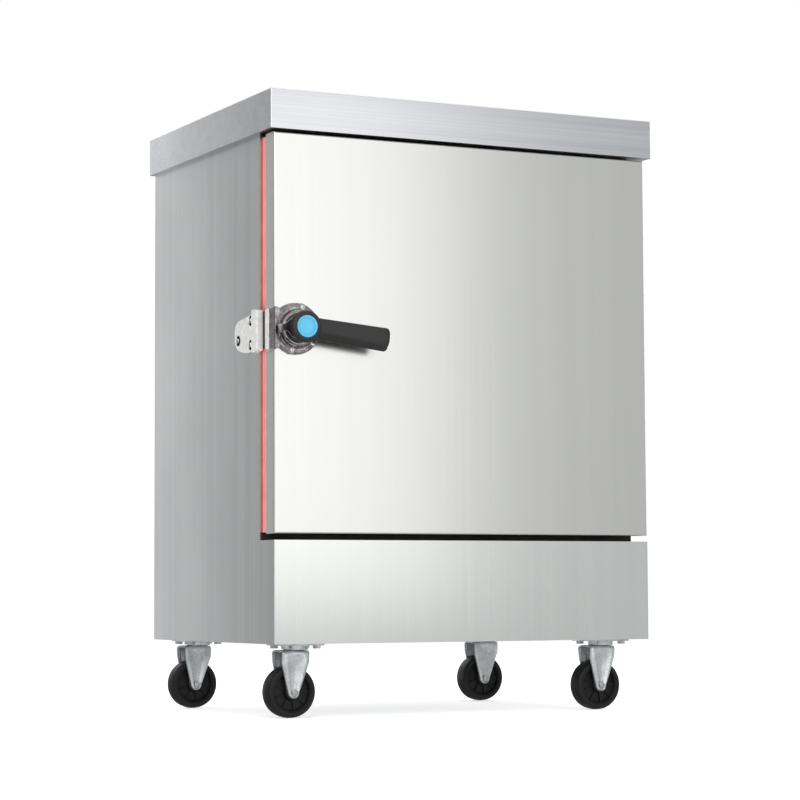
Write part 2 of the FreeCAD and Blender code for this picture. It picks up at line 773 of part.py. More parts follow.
# --------------------------------------------------------------------------------------
# Water tank, heating element, steam baffle
# --------------------------------------------------------------------------------------
fill_z = f"({base_top} - skin - pipe_radius - 1)"
element_z = f"({tank_low} + tank_sheet + element_rise)"
tank_bowl = box("tank_bowl", (f"-{tank_x}", tank_front, tank_low), (tank_x, tank_back, cavity_low))
tank_flange = box(
    "tank_flange",
    (f"-{tank_x} - tank_rim", f"{tank_front} - tank_rim", cavity_low),
    (f"{tank_x} + tank_rim", f"{tank_back} + tank_rim", f"{cavity_low} + tank_sheet"),
)
tank_space = box(
    "tank_space",
    (f"-{tank_x} + tank_sheet", f"{tank_front} + tank_sheet", f"{tank_low} + tank_sheet"),
    (f"{tank_x} - tank_sheet", f"{tank_back} - tank_sheet", f"{cavity_low} + 10"),
)
element_ways = [
    rod(
        f"element_way{i}",
        "X",
        (f"{tank_x} - 10", f"{tank_mid_y} + {i} * element_spread", element_z),
        "element_radius",
        "20",
    )
    for i in (-1, 1)
]
drain_hole = rod("drain_hole", "Z", (drain_x, drain_y, f"{tank_low} - 5"), "pipe_bore", "20")
fill_hole = rod("fill_hole", "Y", (inlet_x, f"{tank_back} - 10", fill_z), "pipe_bore", "20")
node(
    cut(
        "tank",
        fuse("tank_blank", tank_bowl, tank_flange),
        tank_space,
        *element_ways,
        drain_hole,
        fill_hole,
    ),
    "water_tank",
)

bend_x = f"({tank_x} - tank_sheet - element_length)"
element_legs = [
    rod(
        f"element_leg{i}",
        "X",
        (bend_x, f"{tank_mid_y} + {i} * element_spread", element_z),
        "element_radius",
        "element_length + tank_sheet + element_tail",
    )
    for i in (-1, 1)
]
bend = doc.addObject("Part::Torus", "element_bend")
bend.setExpression("Radius1", d("element_spread"))
bend.setExpression("Radius2", d("element_radius"))
bend.Angle3 = 180
place(bend, (bend_x, tank_mid_y, element_z), Rotation(Vector(0, 0, 1), 90))
element_plate = plate(
    "element_plate",
    "YZ_Plane",
    tank_x,
    f"{tank_x} + 3",
    rectangle(
        f"{tank_mid_y} - element_spread - 18",
        f"{element_z} - 9",
        f"{tank_mid_y} + element_spread + 18",
        f"{element_z} + 7.5",
    ),
)
node(fuse("element", *element_legs, bend, element_plate), "heating_element")

baffle_low = f"({cavity_low} + baffle_rise)"
baffle_x = f"({tank_x} + tank_rim + baffle_side_gap)"
baffle_front = f"({tank_front} - tank_rim)"
baffle_back = f"({tank_back} + tank_rim)"
slot_columns = 3
slot_rows = 9
slots = []
for column in range(slot_columns):
    for line in range(slot_rows):
        left = f"(-{baffle_x} + ({column} + 0.1) * 2 * {baffle_x} / {slot_columns})"
        right = f"(-{baffle_x} + ({column} + 0.9) * 2 * {baffle_x} / {slot_columns})"
        mid = f"({tank_front} + ({line} + 0.5) * tank_depth / {slot_rows})"
        slots.append(
            box(
                f"baffle_slot{column}{line}",
                (left, f"{mid} - baffle_slot / 2", f"{baffle_low} - 1"),
                (right, f"{mid} + baffle_slot / 2", f"{baffle_low} + baffle_sheet + 1"),
            )
        )
baffle_top = box(
    "baffle_sheet_top",
    (f"-{baffle_x}", baffle_front, baffle_low),
    (baffle_x, baffle_back, f"{baffle_low} + baffle_sheet"),
)
baffle_legs = []
for side in (-1, 1):
    leg_low = f"-{baffle_x}" if side < 0 else f"{baffle_x} - baffle_sheet"
    leg_high = f"-{baffle_x} + baffle_sheet" if side < 0 else baffle_x
    baffle_legs.append(
        box(
            "baffle_leg_left" if side < 0 else "baffle_leg_right",
            (leg_low, baffle_front, cavity_low),
            (leg_high, baffle_back, f"{baffle_low} + baffle_sheet"),
        )
    )
node(cut("baffle", fuse("baffle_blank", baffle_top, *baffle_legs), *slots), "steam_baffle")

# --------------------------------------------------------------------------------------
# Tray racks
# --------------------------------------------------------------------------------------
# As many levels as the height of the cavity takes
runner_span = value_of(f"{cavity_top} - {cavity_low} - first_runner - runner_top_room")
runner_levels = int(runner_span // size("runner_pitch")) + 1
rack_outer = f"({cavity_x} - fit_gap)"
rack_inner = f"({rack_outer} - post_thickness)"
runner_front = f"({cavity_front} + runner_front_gap)"
runner_back = f"({cavity_back} - runner_back_gap)"
for side, word in ((-1, "left"), (1, "right")):
    members = []
    for place_word, middle in (
        ("front", f"({cavity_front} + post_setback)"),
        ("back", f"({cavity_back} - post_setback)"),
    ):
        low_x, high_x = sorted((f"{side} * {rack_outer}", f"{side} * {rack_inner}"), key=value_of)
        members.append(
            box(
                f"rack_{word}_{place_word}_post",
                (low_x, f"{middle} - post_width / 2", cavity_low),
                (high_x, f"{middle} + post_width / 2", f"{cavity_top} - fit_gap"),
            )
        )
    for level in range(runner_levels):
        shelf_z = f"({cavity_low} + first_runner + {level} * runner_pitch)"
        shelf_inner = f"({rack_inner} - runner_reach)"
        low_x, high_x = sorted((f"{side} * {rack_inner}", f"{side} * {shelf_inner}"), key=value_of)
        members.append(
            box(
                f"rack_{word}_shelf{level}",
                (low_x, runner_front, shelf_z),
                (high_x, runner_back, f"{shelf_z} + runner_sheet"),
            )
        )
        lip_inner = f"({rack_inner} - runner_sheet)"
        low_x, high_x = sorted((f"{side} * {rack_inner}", f"{side} * {lip_inner}"), key=value_of)
        members.append(
            box(
                f"rack_{word}_lip{level}",
                (low_x, runner_front, f"{shelf_z} - runner_lip"),
                (high_x, runner_back, f"{shelf_z} + runner_sheet"),
            )
        )
    node(fuse(f"rack_{word}_frame", *members), f"tray_rack_{word}")

# --------------------------------------------------------------------------------------
# Door
# --------------------------------------------------------------------------------------
pan_blank = cut(
    "door_pan_blank",
    box("door_pan_outside", (f"-{half_w}", face_y, door_low), (half_w, door_back, door_top)),
    box(
        "door_pan_space",
        (f"-{half_w} + skin", f"{face_y} + skin", f"{door_low} + skin"),
        (f"{half_w} - skin", f"{door_back} - skin", f"{door_top} - skin"),
    ),
    box(
        "door_pan_mouth",
        (f"-{half_w} + door_lip", f"{door_back} - skin - 1", f"{door_low} + door_lip"),
        (f"{half_w} - door_lip", f"{door_back} + 1", f"{door_top} - door_lip"),
    ),
    *[
        rod(
            f"door_hole_{word}{i}",
            "X",
            (f"{half_w} - 5", door_screw_y, f"{low} + {rise}"),
            "screw_radius",
            "10",
        )
        for word, low in hinge_lows.items()
        for i, rise in enumerate(hinge_screw_rises)
    ],
)


def door_fold(edge):
    """The edges around the face of the door and its upright corners."""
    on_face = lies_at(edge, "Y", face_y)
    on_sides = lies_at(edge, "X", half_w) or lies_at(edge, "X", f"-{half_w}")
    on_ends = lies_at(edge, "Z", door_low) or lies_at(edge, "Z", door_top)
    return on_face and (on_sides or on_ends)


node(rounded("door_pan", pan_blank, size("bend_radius"), door_fold), "door_skin")
node(
    box(
        "door_wool",
        (f"-{half_w} + skin + 1", f"{face_y} + skin", f"{door_low} + skin + 1"),
        (f"{half_w} - skin - 1", f"{door_back} - skin", f"{door_top} - skin - 1"),
    ),
    "door_insulation",
)
plateau_x = f"({cavity_x} - plateau_gap)"
plateau_low = f"({cavity_low} + plateau_gap)"
plateau_top = f"({cavity_top} - plateau_gap)"
seat_y = f"({door_back} + liner_skin)"
plateau_y = f"({seat_y} + plateau_height)"
liner_blank = fuse(
    "door_liner_blank",
    box(
        "door_liner_rim",
        (f"-{half_w} + 2", door_back, f"{door_low} + 2"),
        (f"{half_w} - 2", seat_y, f"{door_top} - 2"),
    ),
    box("door_liner_field", (f"-{plateau_x}", door_back, plateau_low), (plateau_x, plateau_y, plateau_top)),
)
node(
    cut(
        "door_liner_sheet",
        liner_blank,
        box(
            "door_liner_space",
            (f"-{plateau_x} + liner_skin", f"{door_back} - 1", f"{plateau_low} + liner_skin"),
            (f"{plateau_x} - liner_skin", f"{plateau_y} - liner_skin", f"{plateau_top} - liner_skin"),
        ),
    ),
    "door_liner",
)
gasket_x = f"({half_w} - gasket_inset)"
gasket_low = f"({door_low} + gasket_inset)"
gasket_top = f"({door_top} - gasket_inset)"
gasket_face = f"({frame_y} - fit_gap)"
gasket_ring = cut(
    "gasket_ring",
    box("gasket_outside", (f"-{gasket_x}", seat_y, gasket_low), (gasket_x, gasket_face, gasket_top)),
    box(
        "gasket_inside",
        (f"-{gasket_x} + gasket_width", door_back, f"{gasket_low} + gasket_width"),
        (f"{gasket_x} - gasket_width", frame_y, f"{gasket_top} - gasket_width"),
    ),
)
node(
    rounded("gasket", gasket_ring, size("gasket_round"), lambda edge: lies_at(edge, "Y", gasket_face)),
    "door_gasket",
)

# --------------------------------------------------------------------------------------
# Hinges
# --------------------------------------------------------------------------------------
pins = []
fixed_leaves = []
door_leaves = []
cabinet_screws = []
door_screws = []
leaf_neck_y = f"({door_back} - hinge_neck_setback)"
for word, low in hinge_lows.items():
    middle = f"({low} + hinge_height / 2)"
    high = f"({low} + hinge_height)"
    knuckle_low = f"({middle} + fit_gap / 2)"
    half_knuckle = "(hinge_height / 2 - fit_gap / 2)"
    fixed_leaf = fuse(
        f"hinge_{word}_fixed_blank",
        box(
            f"hinge_{word}_fixed_pad",
            (half_w, f"{frame_y} + fit_gap", low),
            (f"{half_w} + hinge_leaf", f"{frame_y} + hinge_leaf_length", high),
        ),
        box(
            f"hinge_{word}_fixed_neck",
            (half_w, hinge_y, low),
            (f"{half_w} + hinge_leaf", f"{frame_y} + fit_gap", f"{middle} - fit_gap / 2"),
        ),
        rod(f"hinge_{word}_fixed_barrel", "Z", (hinge_x, hinge_y, low), "knuckle_radius", half_knuckle),
    )
    door_leaf = fuse(
        f"hinge_{word}_door_blank",
        box(
            f"hinge_{word}_door_pad",
            (half_w, f"{face_y} + hinge_leaf_setback", low),
            (f"{half_w} + hinge_leaf", leaf_neck_y, high),
        ),
        box(
            f"hinge_{word}_door_neck",
            (half_w, leaf_neck_y, knuckle_low),
            (f"{half_w} + hinge_leaf", hinge_y, high),
        ),
        rod(
            f"hinge_{word}_door_barrel", "Z", (hinge_x, hinge_y, knuckle_low), "knuckle_radius", half_knuckle
        ),
    )
    fixed_bores = [
        rod(
            f"hinge_{word}_fixed_bore",
            "Z",
            (hinge_x, hinge_y, low),
            "hinge_pin_radius",
            "hinge_height",
        )
    ]
    door_bores = [
        rod(
            f"hinge_{word}_door_bore",
            "Z",
            (hinge_x, hinge_y, low),
            "hinge_pin_radius + running_gap",
            "hinge_height + 1",
        )
    ]
    for i, rise in enumerate(hinge_screw_rises):
        level = f"{low} + {rise}"
        for bores, side_word, y in (
            (fixed_bores, "fixed", fixed_screw_y),
            (door_bores, "door", door_screw_y),
        ):
            name = f"hinge_{word}_{side_word}_hole{i}"
            bores.append(rod(name, "X", (half_w, y, level), "screw_radius", "hinge_leaf"))
        seat = f"{half_w} + hinge_leaf"
        cabinet_screws.append(
            screw(f"hinge_{word}_fixed_screw{i}", "X", (seat, fixed_screw_y, level), "hinge_leaf + skin", 1)
        )
        door_screws.append(
            screw(f"hinge_{word}_door_screw{i}", "X", (seat, door_screw_y, level), "hinge_leaf + skin", 1)
        )
    fixed_leaves.append(cut(f"hinge_{word}_fixed_cut", fixed_leaf, *fixed_bores))
    door_leaves.append(cut(f"hinge_{word}_door_cut", door_leaf, *door_bores))
    pin = rod(f"hinge_{word}_pin", "Z", (hinge_x, hinge_y, low), "hinge_pin_radius", "hinge_height")
    pin_head = rod(
        f"hinge_{word}_pin_head",
        "Z",
        (hinge_x, hinge_y, f"{high} + fit_gap"),
        "knuckle_radius - 1",
        "hinge_pin_head",
    )
    pin_neck = rod(
        f"hinge_{word}_pin_neck", "Z", (hinge_x, hinge_y, f"{high} - 1"), "hinge_pin_radius", "fit_gap + 1.5"
    )
    pins.append(fuse(f"hinge_{word}_pin_whole", pin, pin_neck, pin_head))
node_group("hinge_fixed_leaves", fixed_leaves)
node_group("hinge_door_leaves", door_leaves)
node_group("hinge_pins", pins)

# --------------------------------------------------------------------------------------
# Latch: rose, guard and strike stand still; cam, lever, spindle and disc turn
# --------------------------------------------------------------------------------------
rose_screw_ring = "((rose_radius + boss_radius) / 2)"
rose_screw_spots = [
    (f"{latch_x} + {rose_screw_ring} * cos({angle})", f"{latch_z} + {rose_screw_ring} * sin({angle})")
    for angle in (75, 255, 320)
]
rose_blank = fuse(
    "rose_blank",
    rod("rose_flange", "Y", (latch_x, rose_face, latch_z), "rose_radius", "rose_thickness"),
    rod("rose_boss", "Y", (latch_x, boss_face, latch_z), "boss_radius", "boss_height"),
)
edge_gap = "(latch_inset - 3)"
rose_trim = box(
    "rose_trim",
    (f"{latch_x} - rose_radius - 1", f"{rose_face} - 1", f"{latch_z} - rose_radius"),
    (f"{latch_x} - {edge_gap}", f"{face_y} + 1", f"{latch_z} + rose_radius"),
)
rose_bores = [
    rod(
        "rose_bore",
        "Y",
        (latch_x, f"{boss_face} - 1", latch_z),
        "spindle_radius + running_gap",
        "boss_height + rose_thickness + 2",
    )
]
for i, (x, z) in enumerate(rose_screw_spots):
    rose_bores.append(rod(f"rose_hole{i}", "Y", (x, rose_face, z), "screw_radius", "rose_thickness"))
    door_screws.append(screw(f"rose_screw{i}", "Y", (x, rose_face, z), "rose_thickness", -1))
guard_x = f"({latch_x} - boss_radius - 1)"
guard_face = f"({rose_face} - guard_sheet)"
guard = fuse(
    "guard",
    box(
        "guard_front",
        (f"-{half_w} - guard_sheet", guard_face, f"{latch_z} - guard_height / 2"),
        (guard_x, rose_face, f"{latch_z} + guard_height / 2"),
    ),
    box(
        "guard_side",
        (f"-{half_w} - guard_sheet", guard_face, f"{latch_z} - guard_height / 2"),
        (f"-{half_w}", f"{guard_face} + guard_return", f"{latch_z} + guard_height / 2"),
    ),
)
node(fuse("rose", cut("rose_body", rose_blank, rose_trim, *rose_bores), guard), "latch_rose")
node_group("door_screws", door_screws)

strike_pad_high_y = f"({strike_front} + strike_length)"
strike_top_z = f"({latch_z} + strike_height / 2)"
strike_pad = plate(
    "strike_pad",
    "YZ_Plane",
    f"-{half_w} - strike_sheet",
    f"-{half_w}",
    [
        (strike_front, strike_low_z),
        (f"{strike_pad_high_y} - strike_chamfer", strike_low_z),
        (strike_pad_high_y, f"{strike_low_z} + strike_chamfer"),
        (strike_pad_high_y, f"{strike_top_z} - strike_chamfer"),
        (f"{strike_pad_high_y} - strike_chamfer", strike_top_z),
        (strike_front, strike_top_z),
    ],
    holes=[(y, z, "screw_radius") for y, z in strike_screw_spots],
)
strike_rib = box(
    "strike_rib_block",
    (f"-{half_w} - strike_rib", f"{strike_front} - strike_rib_depth", f"{latch_z} - strike_rib_height / 2"),
    (f"-{half_w} - fit_gap - 0.6", f"{strike_front} + 6", f"{latch_z} + strike_rib_height / 2"),
)
node(fuse("strike", strike_pad, strike_rib), "latch_strike")
for i, (y, z) in enumerate(strike_screw_spots):
    seat = (f"-{half_w} - strike_sheet", y, z)
    cabinet_screws.append(screw(f"strike_screw{i}", "X", seat, "strike_sheet + skin", -1))
node_group("cabinet_screws", cabinet_screws)


def latch_place(piece):
    """Puts a piece that is drawn about the latch axis at its rest angle."""
    place(piece, (latch_x, "0", latch_z), Rotation(Vector(0, 1, 0), size("lever_droop")))
    piece.setExpression("Placement.Rotation.Angle", d("lever_droop"))
    return piece


# The nose of the cam ends short of the strike, so door and lever can each move alone
cam_plate = plate(
    "cam_nose_plate",
    "XZ_Plane",
    cam_front,
    cam_back,
    [
        ("0", "-cam_radius"),
        ("-latch_inset - guard_sheet", "-cam_nose"),
        ("-latch_inset - guard_sheet", "0"),
        ("0", "cam_radius"),
    ],
)
cam_disc = rod("cam_disc", "Y", ("0", cam_front, "0"), "cam_radius", "cam_thickness")
spindle = rod(
    "spindle",
    "Y",
    ("0", f"{hub_face} + hub_height / 2", "0"),
    "spindle_radius",
    f"{face_y} - fit_gap - ({hub_face} + hub_height / 2)",
)
node(latch_place(fuse("cam", cam_plate, cam_disc, spindle)), "latch_cam")

arm_front = f"({hub_face} + lever_setback)"
arm_back = f"({arm_front} + lever_thickness)"
arm = plate(
    "lever_arm",
    "XZ_Plane",
    arm_front,
    arm_back,
    [
        ("0", "-lever_root / 2"),
        ("lever_length - lever_chamfer", "-lever_tip / 2"),
        ("lever_length", "-lever_tip / 2 + lever_chamfer"),
        ("lever_length", "lever_tip / 2 - lever_corner"),
        ("lever_length - lever_corner", "lever_tip / 2"),
        ("0", "lever_root / 2"),
    ],
)
hub = rod("lever_hub", "Y", ("0", hub_face, "0"), "hub_radius", "hub_height")
lever_cuts = [
    rod("lever_bore", "Y", ("0", f"{hub_face} + hub_height / 2", "0"), "spindle_radius", "hub_height / 2"),
    rod("lever_seat", "Y", ("0", hub_face, "0"), "disc_radius", "disc_sink"),
]
node(latch_place(cut("lever", fuse("lever_blank", hub, arm), *lever_cuts)), "latch_lever")
node(
    rod(
        "disc",
        "Y",
        (latch_x, f"{hub_face} - disc_proud", latch_z),
        "disc_radius",
        "disc_sink + disc_proud",
    ),
    "latch_disc",
)

# --------------------------------------------------------------------------------------
# Casters
# --------------------------------------------------------------------------------------
plate_low = "(caster_height - mount_plate_sheet)"
race_low = f"({plate_low} - race_height)"
crown_top = f"({race_low} - fit_gap)"
crown_low = f"({crown_top} - fork_sheet)"
pin_head_top = f"({crown_low} - fit_gap)"
mounts = []
bolts = []
for corner, (side, end) in corners.items():
    spot_x = f"{side} * caster_spread_x"
    spot_y = caster_row_y[end]
    name = f"caster_{corner}"
    holes = [
        (f"{i} * bolt_spread_x / 2", f"{j} * bolt_spread_y / 2", "bolt_radius")
        for i in (-1, 1)
        for j in (-1, 1)
    ]
    mount = plate(
        f"{name}_mount",
        "XY_Plane",
        plate_low,
        "caster_height",
        rectangle(
            "-mount_plate_length / 2",
            "-mount_plate_width / 2",
            "mount_plate_length / 2",
            "mount_plate_width / 2",
        ),
        holes=holes,
    )
    race = rod(f"{name}_race", "Z", ("0", "0", race_low), "race_radius", "race_height")
    kingpin = rod(
        f"{name}_kingpin",
        "Z",
        ("0", "0", f"{pin_head_top} - kingpin_head"),
        "kingpin_radius",
        f"{race_low} - {pin_head_top} + kingpin_head",
    )
    rivet = rod(
        f"{name}_rivet",
        "Z",
        ("0", "0", f"{pin_head_top} - kingpin_head"),
        "kingpin_radius + kingpin_flare",
        "kingpin_head",
    )
    whole_plate = fuse(f"{name}_plate_whole", mount, race, kingpin, rivet)
    mounts.append(place(whole_plate, (spot_x, spot_y, "0")))

    crown = rod(f"{name}_crown", "Z", ("0", "0", crown_low), "fork_width / 2", "fork_sheet")
    half_leg = "(fork_leg / 2)"
    waist_z = f"({crown_top} - fork_shoulder)"
    legs = []
    for j in (-1, 1):
        leg_low, leg_high = sorted(
            (f"{j} * fork_width / 2", f"{j} * (fork_width / 2 - fork_sheet)"), key=value_of
        )
        legs.append(
            plate(
                f"{name}_leg{'_front' if j < 0 else '_back'}",
                "XZ_Plane",
                leg_low,
                leg_high,
                [
                    (f"-{half_leg} + fork_corner", crown_top),
                    (f"-{half_leg}", f"{crown_top} - fork_corner"),
                    (f"-{half_leg}", waist_z),
                    ("-caster_trail - fork_eye", "wheel_radius"),
                    ("-caster_trail + fork_eye", "wheel_radius"),
                    (half_leg, waist_z),
                    (half_leg, f"{crown_top} - fork_corner"),
                    (f"{half_leg} - fork_corner", crown_top),
                ],
            )
        )
        legs.append(
            rod(
                f"{name}_eye{'_front' if j < 0 else '_back'}",
                "Y",
                ("-caster_trail", leg_low, "wheel_radius"),
                "fork_eye",
                "fork_sheet",
            )
        )
    bridge = box(
        f"{name}_bridge",
        (f"-{half_leg} + fork_corner", "-fork_width / 2", crown_low),
        (f"{half_leg} - fork_corner", "fork_width / 2", crown_top),
    )
    axle_way = rod(
        f"{name}_axle_way",
        "Y",
        ("-caster_trail", "-fork_width", "wheel_radius"),
        "axle_radius",
        "2 * fork_width",
    )
    king_way = rod(
        f"{name}_king_way",
        "Z",
        ("0", "0", f"{crown_low} - 1"),
        "kingpin_radius + running_gap",
        "fork_sheet + 2",
    )
    fork = cut(f"{name}_fork_cut", fuse(f"{name}_fork_blank", crown, bridge, *legs), axle_way, king_way)
    node(place(fork, (spot_x, spot_y, "0")), f"{name}_fork")

    axle = fuse(
        f"{name}_axle_whole",
        rod(
            f"{name}_axle_rod",
            "Y",
            ("-caster_trail", "-fork_width / 2", "wheel_radius"),
            "axle_radius",
            "fork_width",
        ),
        prism(
            f"{name}_axle_head",
            "Y",
            ("-caster_trail", "-fork_width / 2 - axle_head", "wheel_radius"),
            "axle_radius * 1.7",
            "axle_head",
        ),
        prism(
            f"{name}_axle_nut",
            "Y",
            ("-caster_trail", "fork_width / 2", "wheel_radius"),
            "axle_radius * 1.7",
            "axle_head",
        ),
    )
    node(place(axle, (spot_x, spot_y, "0")), f"{name}_axle")

    tread = rod(
        f"{name}_tread",
        "Y",
        ("-caster_trail", "-tread_width / 2", "wheel_radius"),
        "wheel_radius",
        "tread_width",
    )
    tread_edges = ("-tread_width / 2", "tread_width / 2")
    soft_tread = rounded(
        f"{name}_soft_tread",
        tread,
        size("tread_round"),
        lambda edge: any(lies_at(edge, "Y", level) for level in tread_edges),
    )
    wheel_hub = rod(
        f"{name}_wheel_hub",
        "Y",
        ("-caster_trail", "-wheel_hub_width / 2", "wheel_radius"),
        "wheel_hub_radius",
        "wheel_hub_width",
    )
    wheel_bore = rod(
        f"{name}_wheel_bore",
        "Y",
        ("-caster_trail", "-wheel_hub_width", "wheel_radius"),
        "axle_radius + running_gap",
        "2 * wheel_hub_width",
    )
    wheel = cut(f"{name}_wheel_cut", fuse(f"{name}_wheel_blank", soft_tread, wheel_hub), wheel_bore)
    node(place(wheel, (spot_x, spot_y, "0")), f"{name}_wheel")

    for i, (x, y) in enumerate(bolt_spots[corner]):
        head_low = f"({plate_low} - bolt_head)"
        nut_low = f"({plate_low} + mount_plate_sheet + base_sheet + channel_sheet)"
        head = prism(f"{name}_bolt_head{i}", "Z", (x, y, head_low), "bolt_radius * 1.8", "bolt_head")
        shank_length = f"{nut_low} - {plate_low} + bolt_nut + 1.5"
        shank = rod(f"{name}_bolt_shank{i}", "Z", (x, y, plate_low), "bolt_radius", shank_length)
        bolts.append(fuse(f"{name}_bolt{i}", head, shank))
        nut = prism(f"{name}_nut_blank{i}", "Z", (x, y, nut_low), "bolt_radius * 1.8", "bolt_nut")
        way = rod(f"{name}_nut_way{i}", "Z", (x, y, nut_low), "bolt_radius", "bolt_nut")
        bolts.append(cut(f"{name}_nut{i}", nut, way))
node_group("caster_plates", mounts)
node_group("caster_bolts", bolts)

# --------------------------------------------------------------------------------------
# Water, steam and electric services
# --------------------------------------------------------------------------------------
fill_y = f"({tank_back} + fill_gap)"
fill_pipe = pipe(
    "fill_pipe_run",
    [
        (inlet_x, f"{back_y} + inlet_stub", service_z),
        (inlet_x, fill_y, service_z),
        (inlet_x, fill_y, fill_z),
        (inlet_x, tank_back, fill_z),
    ],
    "pipe_radius",
    "pipe_bore",
)
inlet_nut = prism("inlet_nut_blank", "Y", (inlet_x, back_y, service_z), "pipe_radius + 5", "fitting_nut")
inlet_way = rod("inlet_nut_way", "Y", (inlet_x, back_y, service_z), "pipe_radius", "fitting_nut")
node(fuse("fill_pipe", fill_pipe, cut("inlet_nut", inlet_nut, inlet_way)), "water_inlet_pipe")

valve_y = f"({back_y} + valve_stub)"
node(
    pipe(
        "drain_pipe_run",
        [
            (drain_x, drain_y, tank_low),
            (drain_x, drain_y, service_z),
            (drain_x, valve_y, service_z),
        ],
        "pipe_radius",
        "pipe_bore",
    ),
    "drain_pipe",
)
valve_end = f"({valve_y} + valve_length)"
valve_mid = f"({valve_y} + valve_length / 2)"
neck_top = f"({service_z} + pipe_radius + 8)"
valve_blank = fuse(
    "valve_blank",
    prism("valve_socket_hexagon", "Y", (drain_x, valve_y, service_z), "pipe_radius + 6", "10"),
    rod("valve_barrel", "Y", (drain_x, valve_y, service_z), "pipe_radius + 3", "valve_length"),
    rod("valve_neck", "Z", (drain_x, valve_mid, service_z), "valve_neck_radius", f"{neck_top} - {service_z}"),
)
valve_way = rod(
    "valve_way", "Y", (drain_x, f"{valve_end} - valve_socket + 1", service_z), "pipe_bore", "valve_socket"
)
valve_entry = rod("valve_entry", "Y", (drain_x, f"{valve_y} - 1", service_z), "pipe_bore", "valve_socket")
stem_low = f"({service_z} + pipe_radius + 2)"
stem_way = rod(
    "stem_way",
    "Z",
    (drain_x, valve_mid, stem_low),
    "valve_stem_radius + running_gap",
    f"{neck_top} - {stem_low} + 1",
)
node(cut("valve", valve_blank, valve_way, valve_entry, stem_way), "drain_valve")
handle_z = f"({neck_top} + fit_gap)"
node(
    fuse(
        "drain_lever_whole",
        rod(
            "drain_stem",
            "Z",
            (drain_x, valve_mid, f"{stem_low} + fit_gap"),
            "valve_stem_radius",
            f"{handle_z} - {stem_low}",
        ),
        box(
            "drain_lever_bar",
            (f"{drain_x} - valve_neck_radius", f"{valve_mid} - drain_lever_width / 2", handle_z),
            (
                f"{drain_x} + drain_lever_length",
                f"{valve_mid} + drain_lever_width / 2",
                f"{handle_z} + drain_lever_sheet",
            ),
        ),
        rod(
            "drain_lever_boss",
            "Z",
            (drain_x, valve_mid, handle_z),
            "drain_lever_width / 2 + 2",
            "2 * drain_lever_sheet",
        ),
    ),
    "drain_handle",
)

vent_tube = fuse(
    "vent_blank",
    rod(
        "vent_outside",
        "Y",
        ("0", f"{cavity_back} - vent_nose", vent_z),
        "vent_radius + vent_wall",
        "back_wall + vent_stub + vent_nose",
    ),
    rod("vent_collar_disc", "Y", ("0", back_y, vent_z), "vent_radius + vent_collar", "2"),
)
vent_way = rod(
    "vent_way",
    "Y",
    ("0", f"{cavity_back} - vent_nose - 2", vent_z),
    "vent_radius",
    "back_wall + vent_stub + vent_nose + 7",
)
node(cut("vent", vent_tube, vent_way), "steam_vent")

gland_blank = fuse(
    "gland_blank",
    prism("gland_base", "Y", (gland_x, back_y, gland_z), "gland_radius", "gland_foot"),
    prism("gland_cap", "Y", (gland_x, f"{back_y} + gland_foot", gland_z), "gland_radius - 1", "gland_nut"),
    rod(
        "gland_thread",
        "Y",
        (gland_x, f"{back_y} - gland_neck", gland_z),
        "gland_bore + 3",
        "gland_neck + 1",
    ),
)
gland_way = rod(
    "gland_way",
    "Y",
    (gland_x, f"{back_y} - gland_neck - 1", gland_z),
    "gland_bore",
    "gland_neck + gland_foot + gland_nut + 4",
)
node(cut("gland", gland_blank, gland_way), "cable_gland")
node(
    box(
        "terminals",
        (f"{gland_x} - terminal_width + 25", f"{back_y} - gland_neck - 1 - terminal_depth", f"{gland_z} - 8"),
        (f"{gland_x} + 25", f"{back_y} - gland_neck - 1", f"{gland_z} - 8 + terminal_height"),
    ),
    "terminal_box",
)

# Controls on the right side of the base
plate_face = f"({half_w} + plate_sheet)"
knob_y = f"({control_y} - plate_width / 4)"
knob_seat = f"({plate_face} + fit_gap)"
switch_y = f"({control_y} + plate_width / 4 + 8)"
switch_window = rectangle(
    f"{switch_y} - switch_width / 2",
    f"{control_z} - switch_height / 2",
    f"{switch_y} + switch_width / 2",
    f"{control_z} + switch_height / 2",
)
node(
    plate(
        "control_sheet",
        "YZ_Plane",
        half_w,
        plate_face,
        rectangle(
            f"{control_y} - plate_width / 2",
            f"{control_z} - plate_height / 2",
            f"{control_y} + plate_width / 2",
            f"{control_z} + plate_height / 2",
        ),
        [switch_window],
        [(knob_y, control_z, "shaft_radius + 1")],
    ),
    "control_plate",
)
node(
    cut(
        "thermostat_case",
        box(
            "thermostat_blank",
            (
                f"{half_w} - thermostat_depth",
                f"{knob_y} - thermostat_width / 2",
                f"{control_z} - thermostat_height / 2",
            ),
            (
                f"{half_w} - skin - fit_gap",
                f"{knob_y} + thermostat_width / 2",
                f"{control_z} + thermostat_height / 2",
            ),
        ),
        rod(
            "thermostat_way",
            "X",
            (f"{half_w} - shaft_length - 1", knob_y, control_z),
            "shaft_radius + running_gap",
            "shaft_length + 6",
        ),
    ),
    "thermostat_unit",
)
knob_body = rod("knob_body", "X", (knob_seat, knob_y, control_z), "knob_radius", "knob_height")
knob_soft = rounded(
    "knob_soft",
    knob_body,
    size("knob_round"),
    lambda edge: lies_at(edge, "X", f"{knob_seat} + knob_height"),
)
shaft = rod(
    "knob_shaft",
    "X",
    (f"{half_w} - shaft_length", knob_y, control_z),
    "shaft_radius",
    f"{plate_face} + 5 - ({half_w} - shaft_length)",
)
node(fuse("knob_whole", knob_soft, shaft), "thermostat_knob")
rocker_half = "(switch_width / 2 - switch_frame)"
rocker_room = "(switch_height / 2 - switch_frame)"
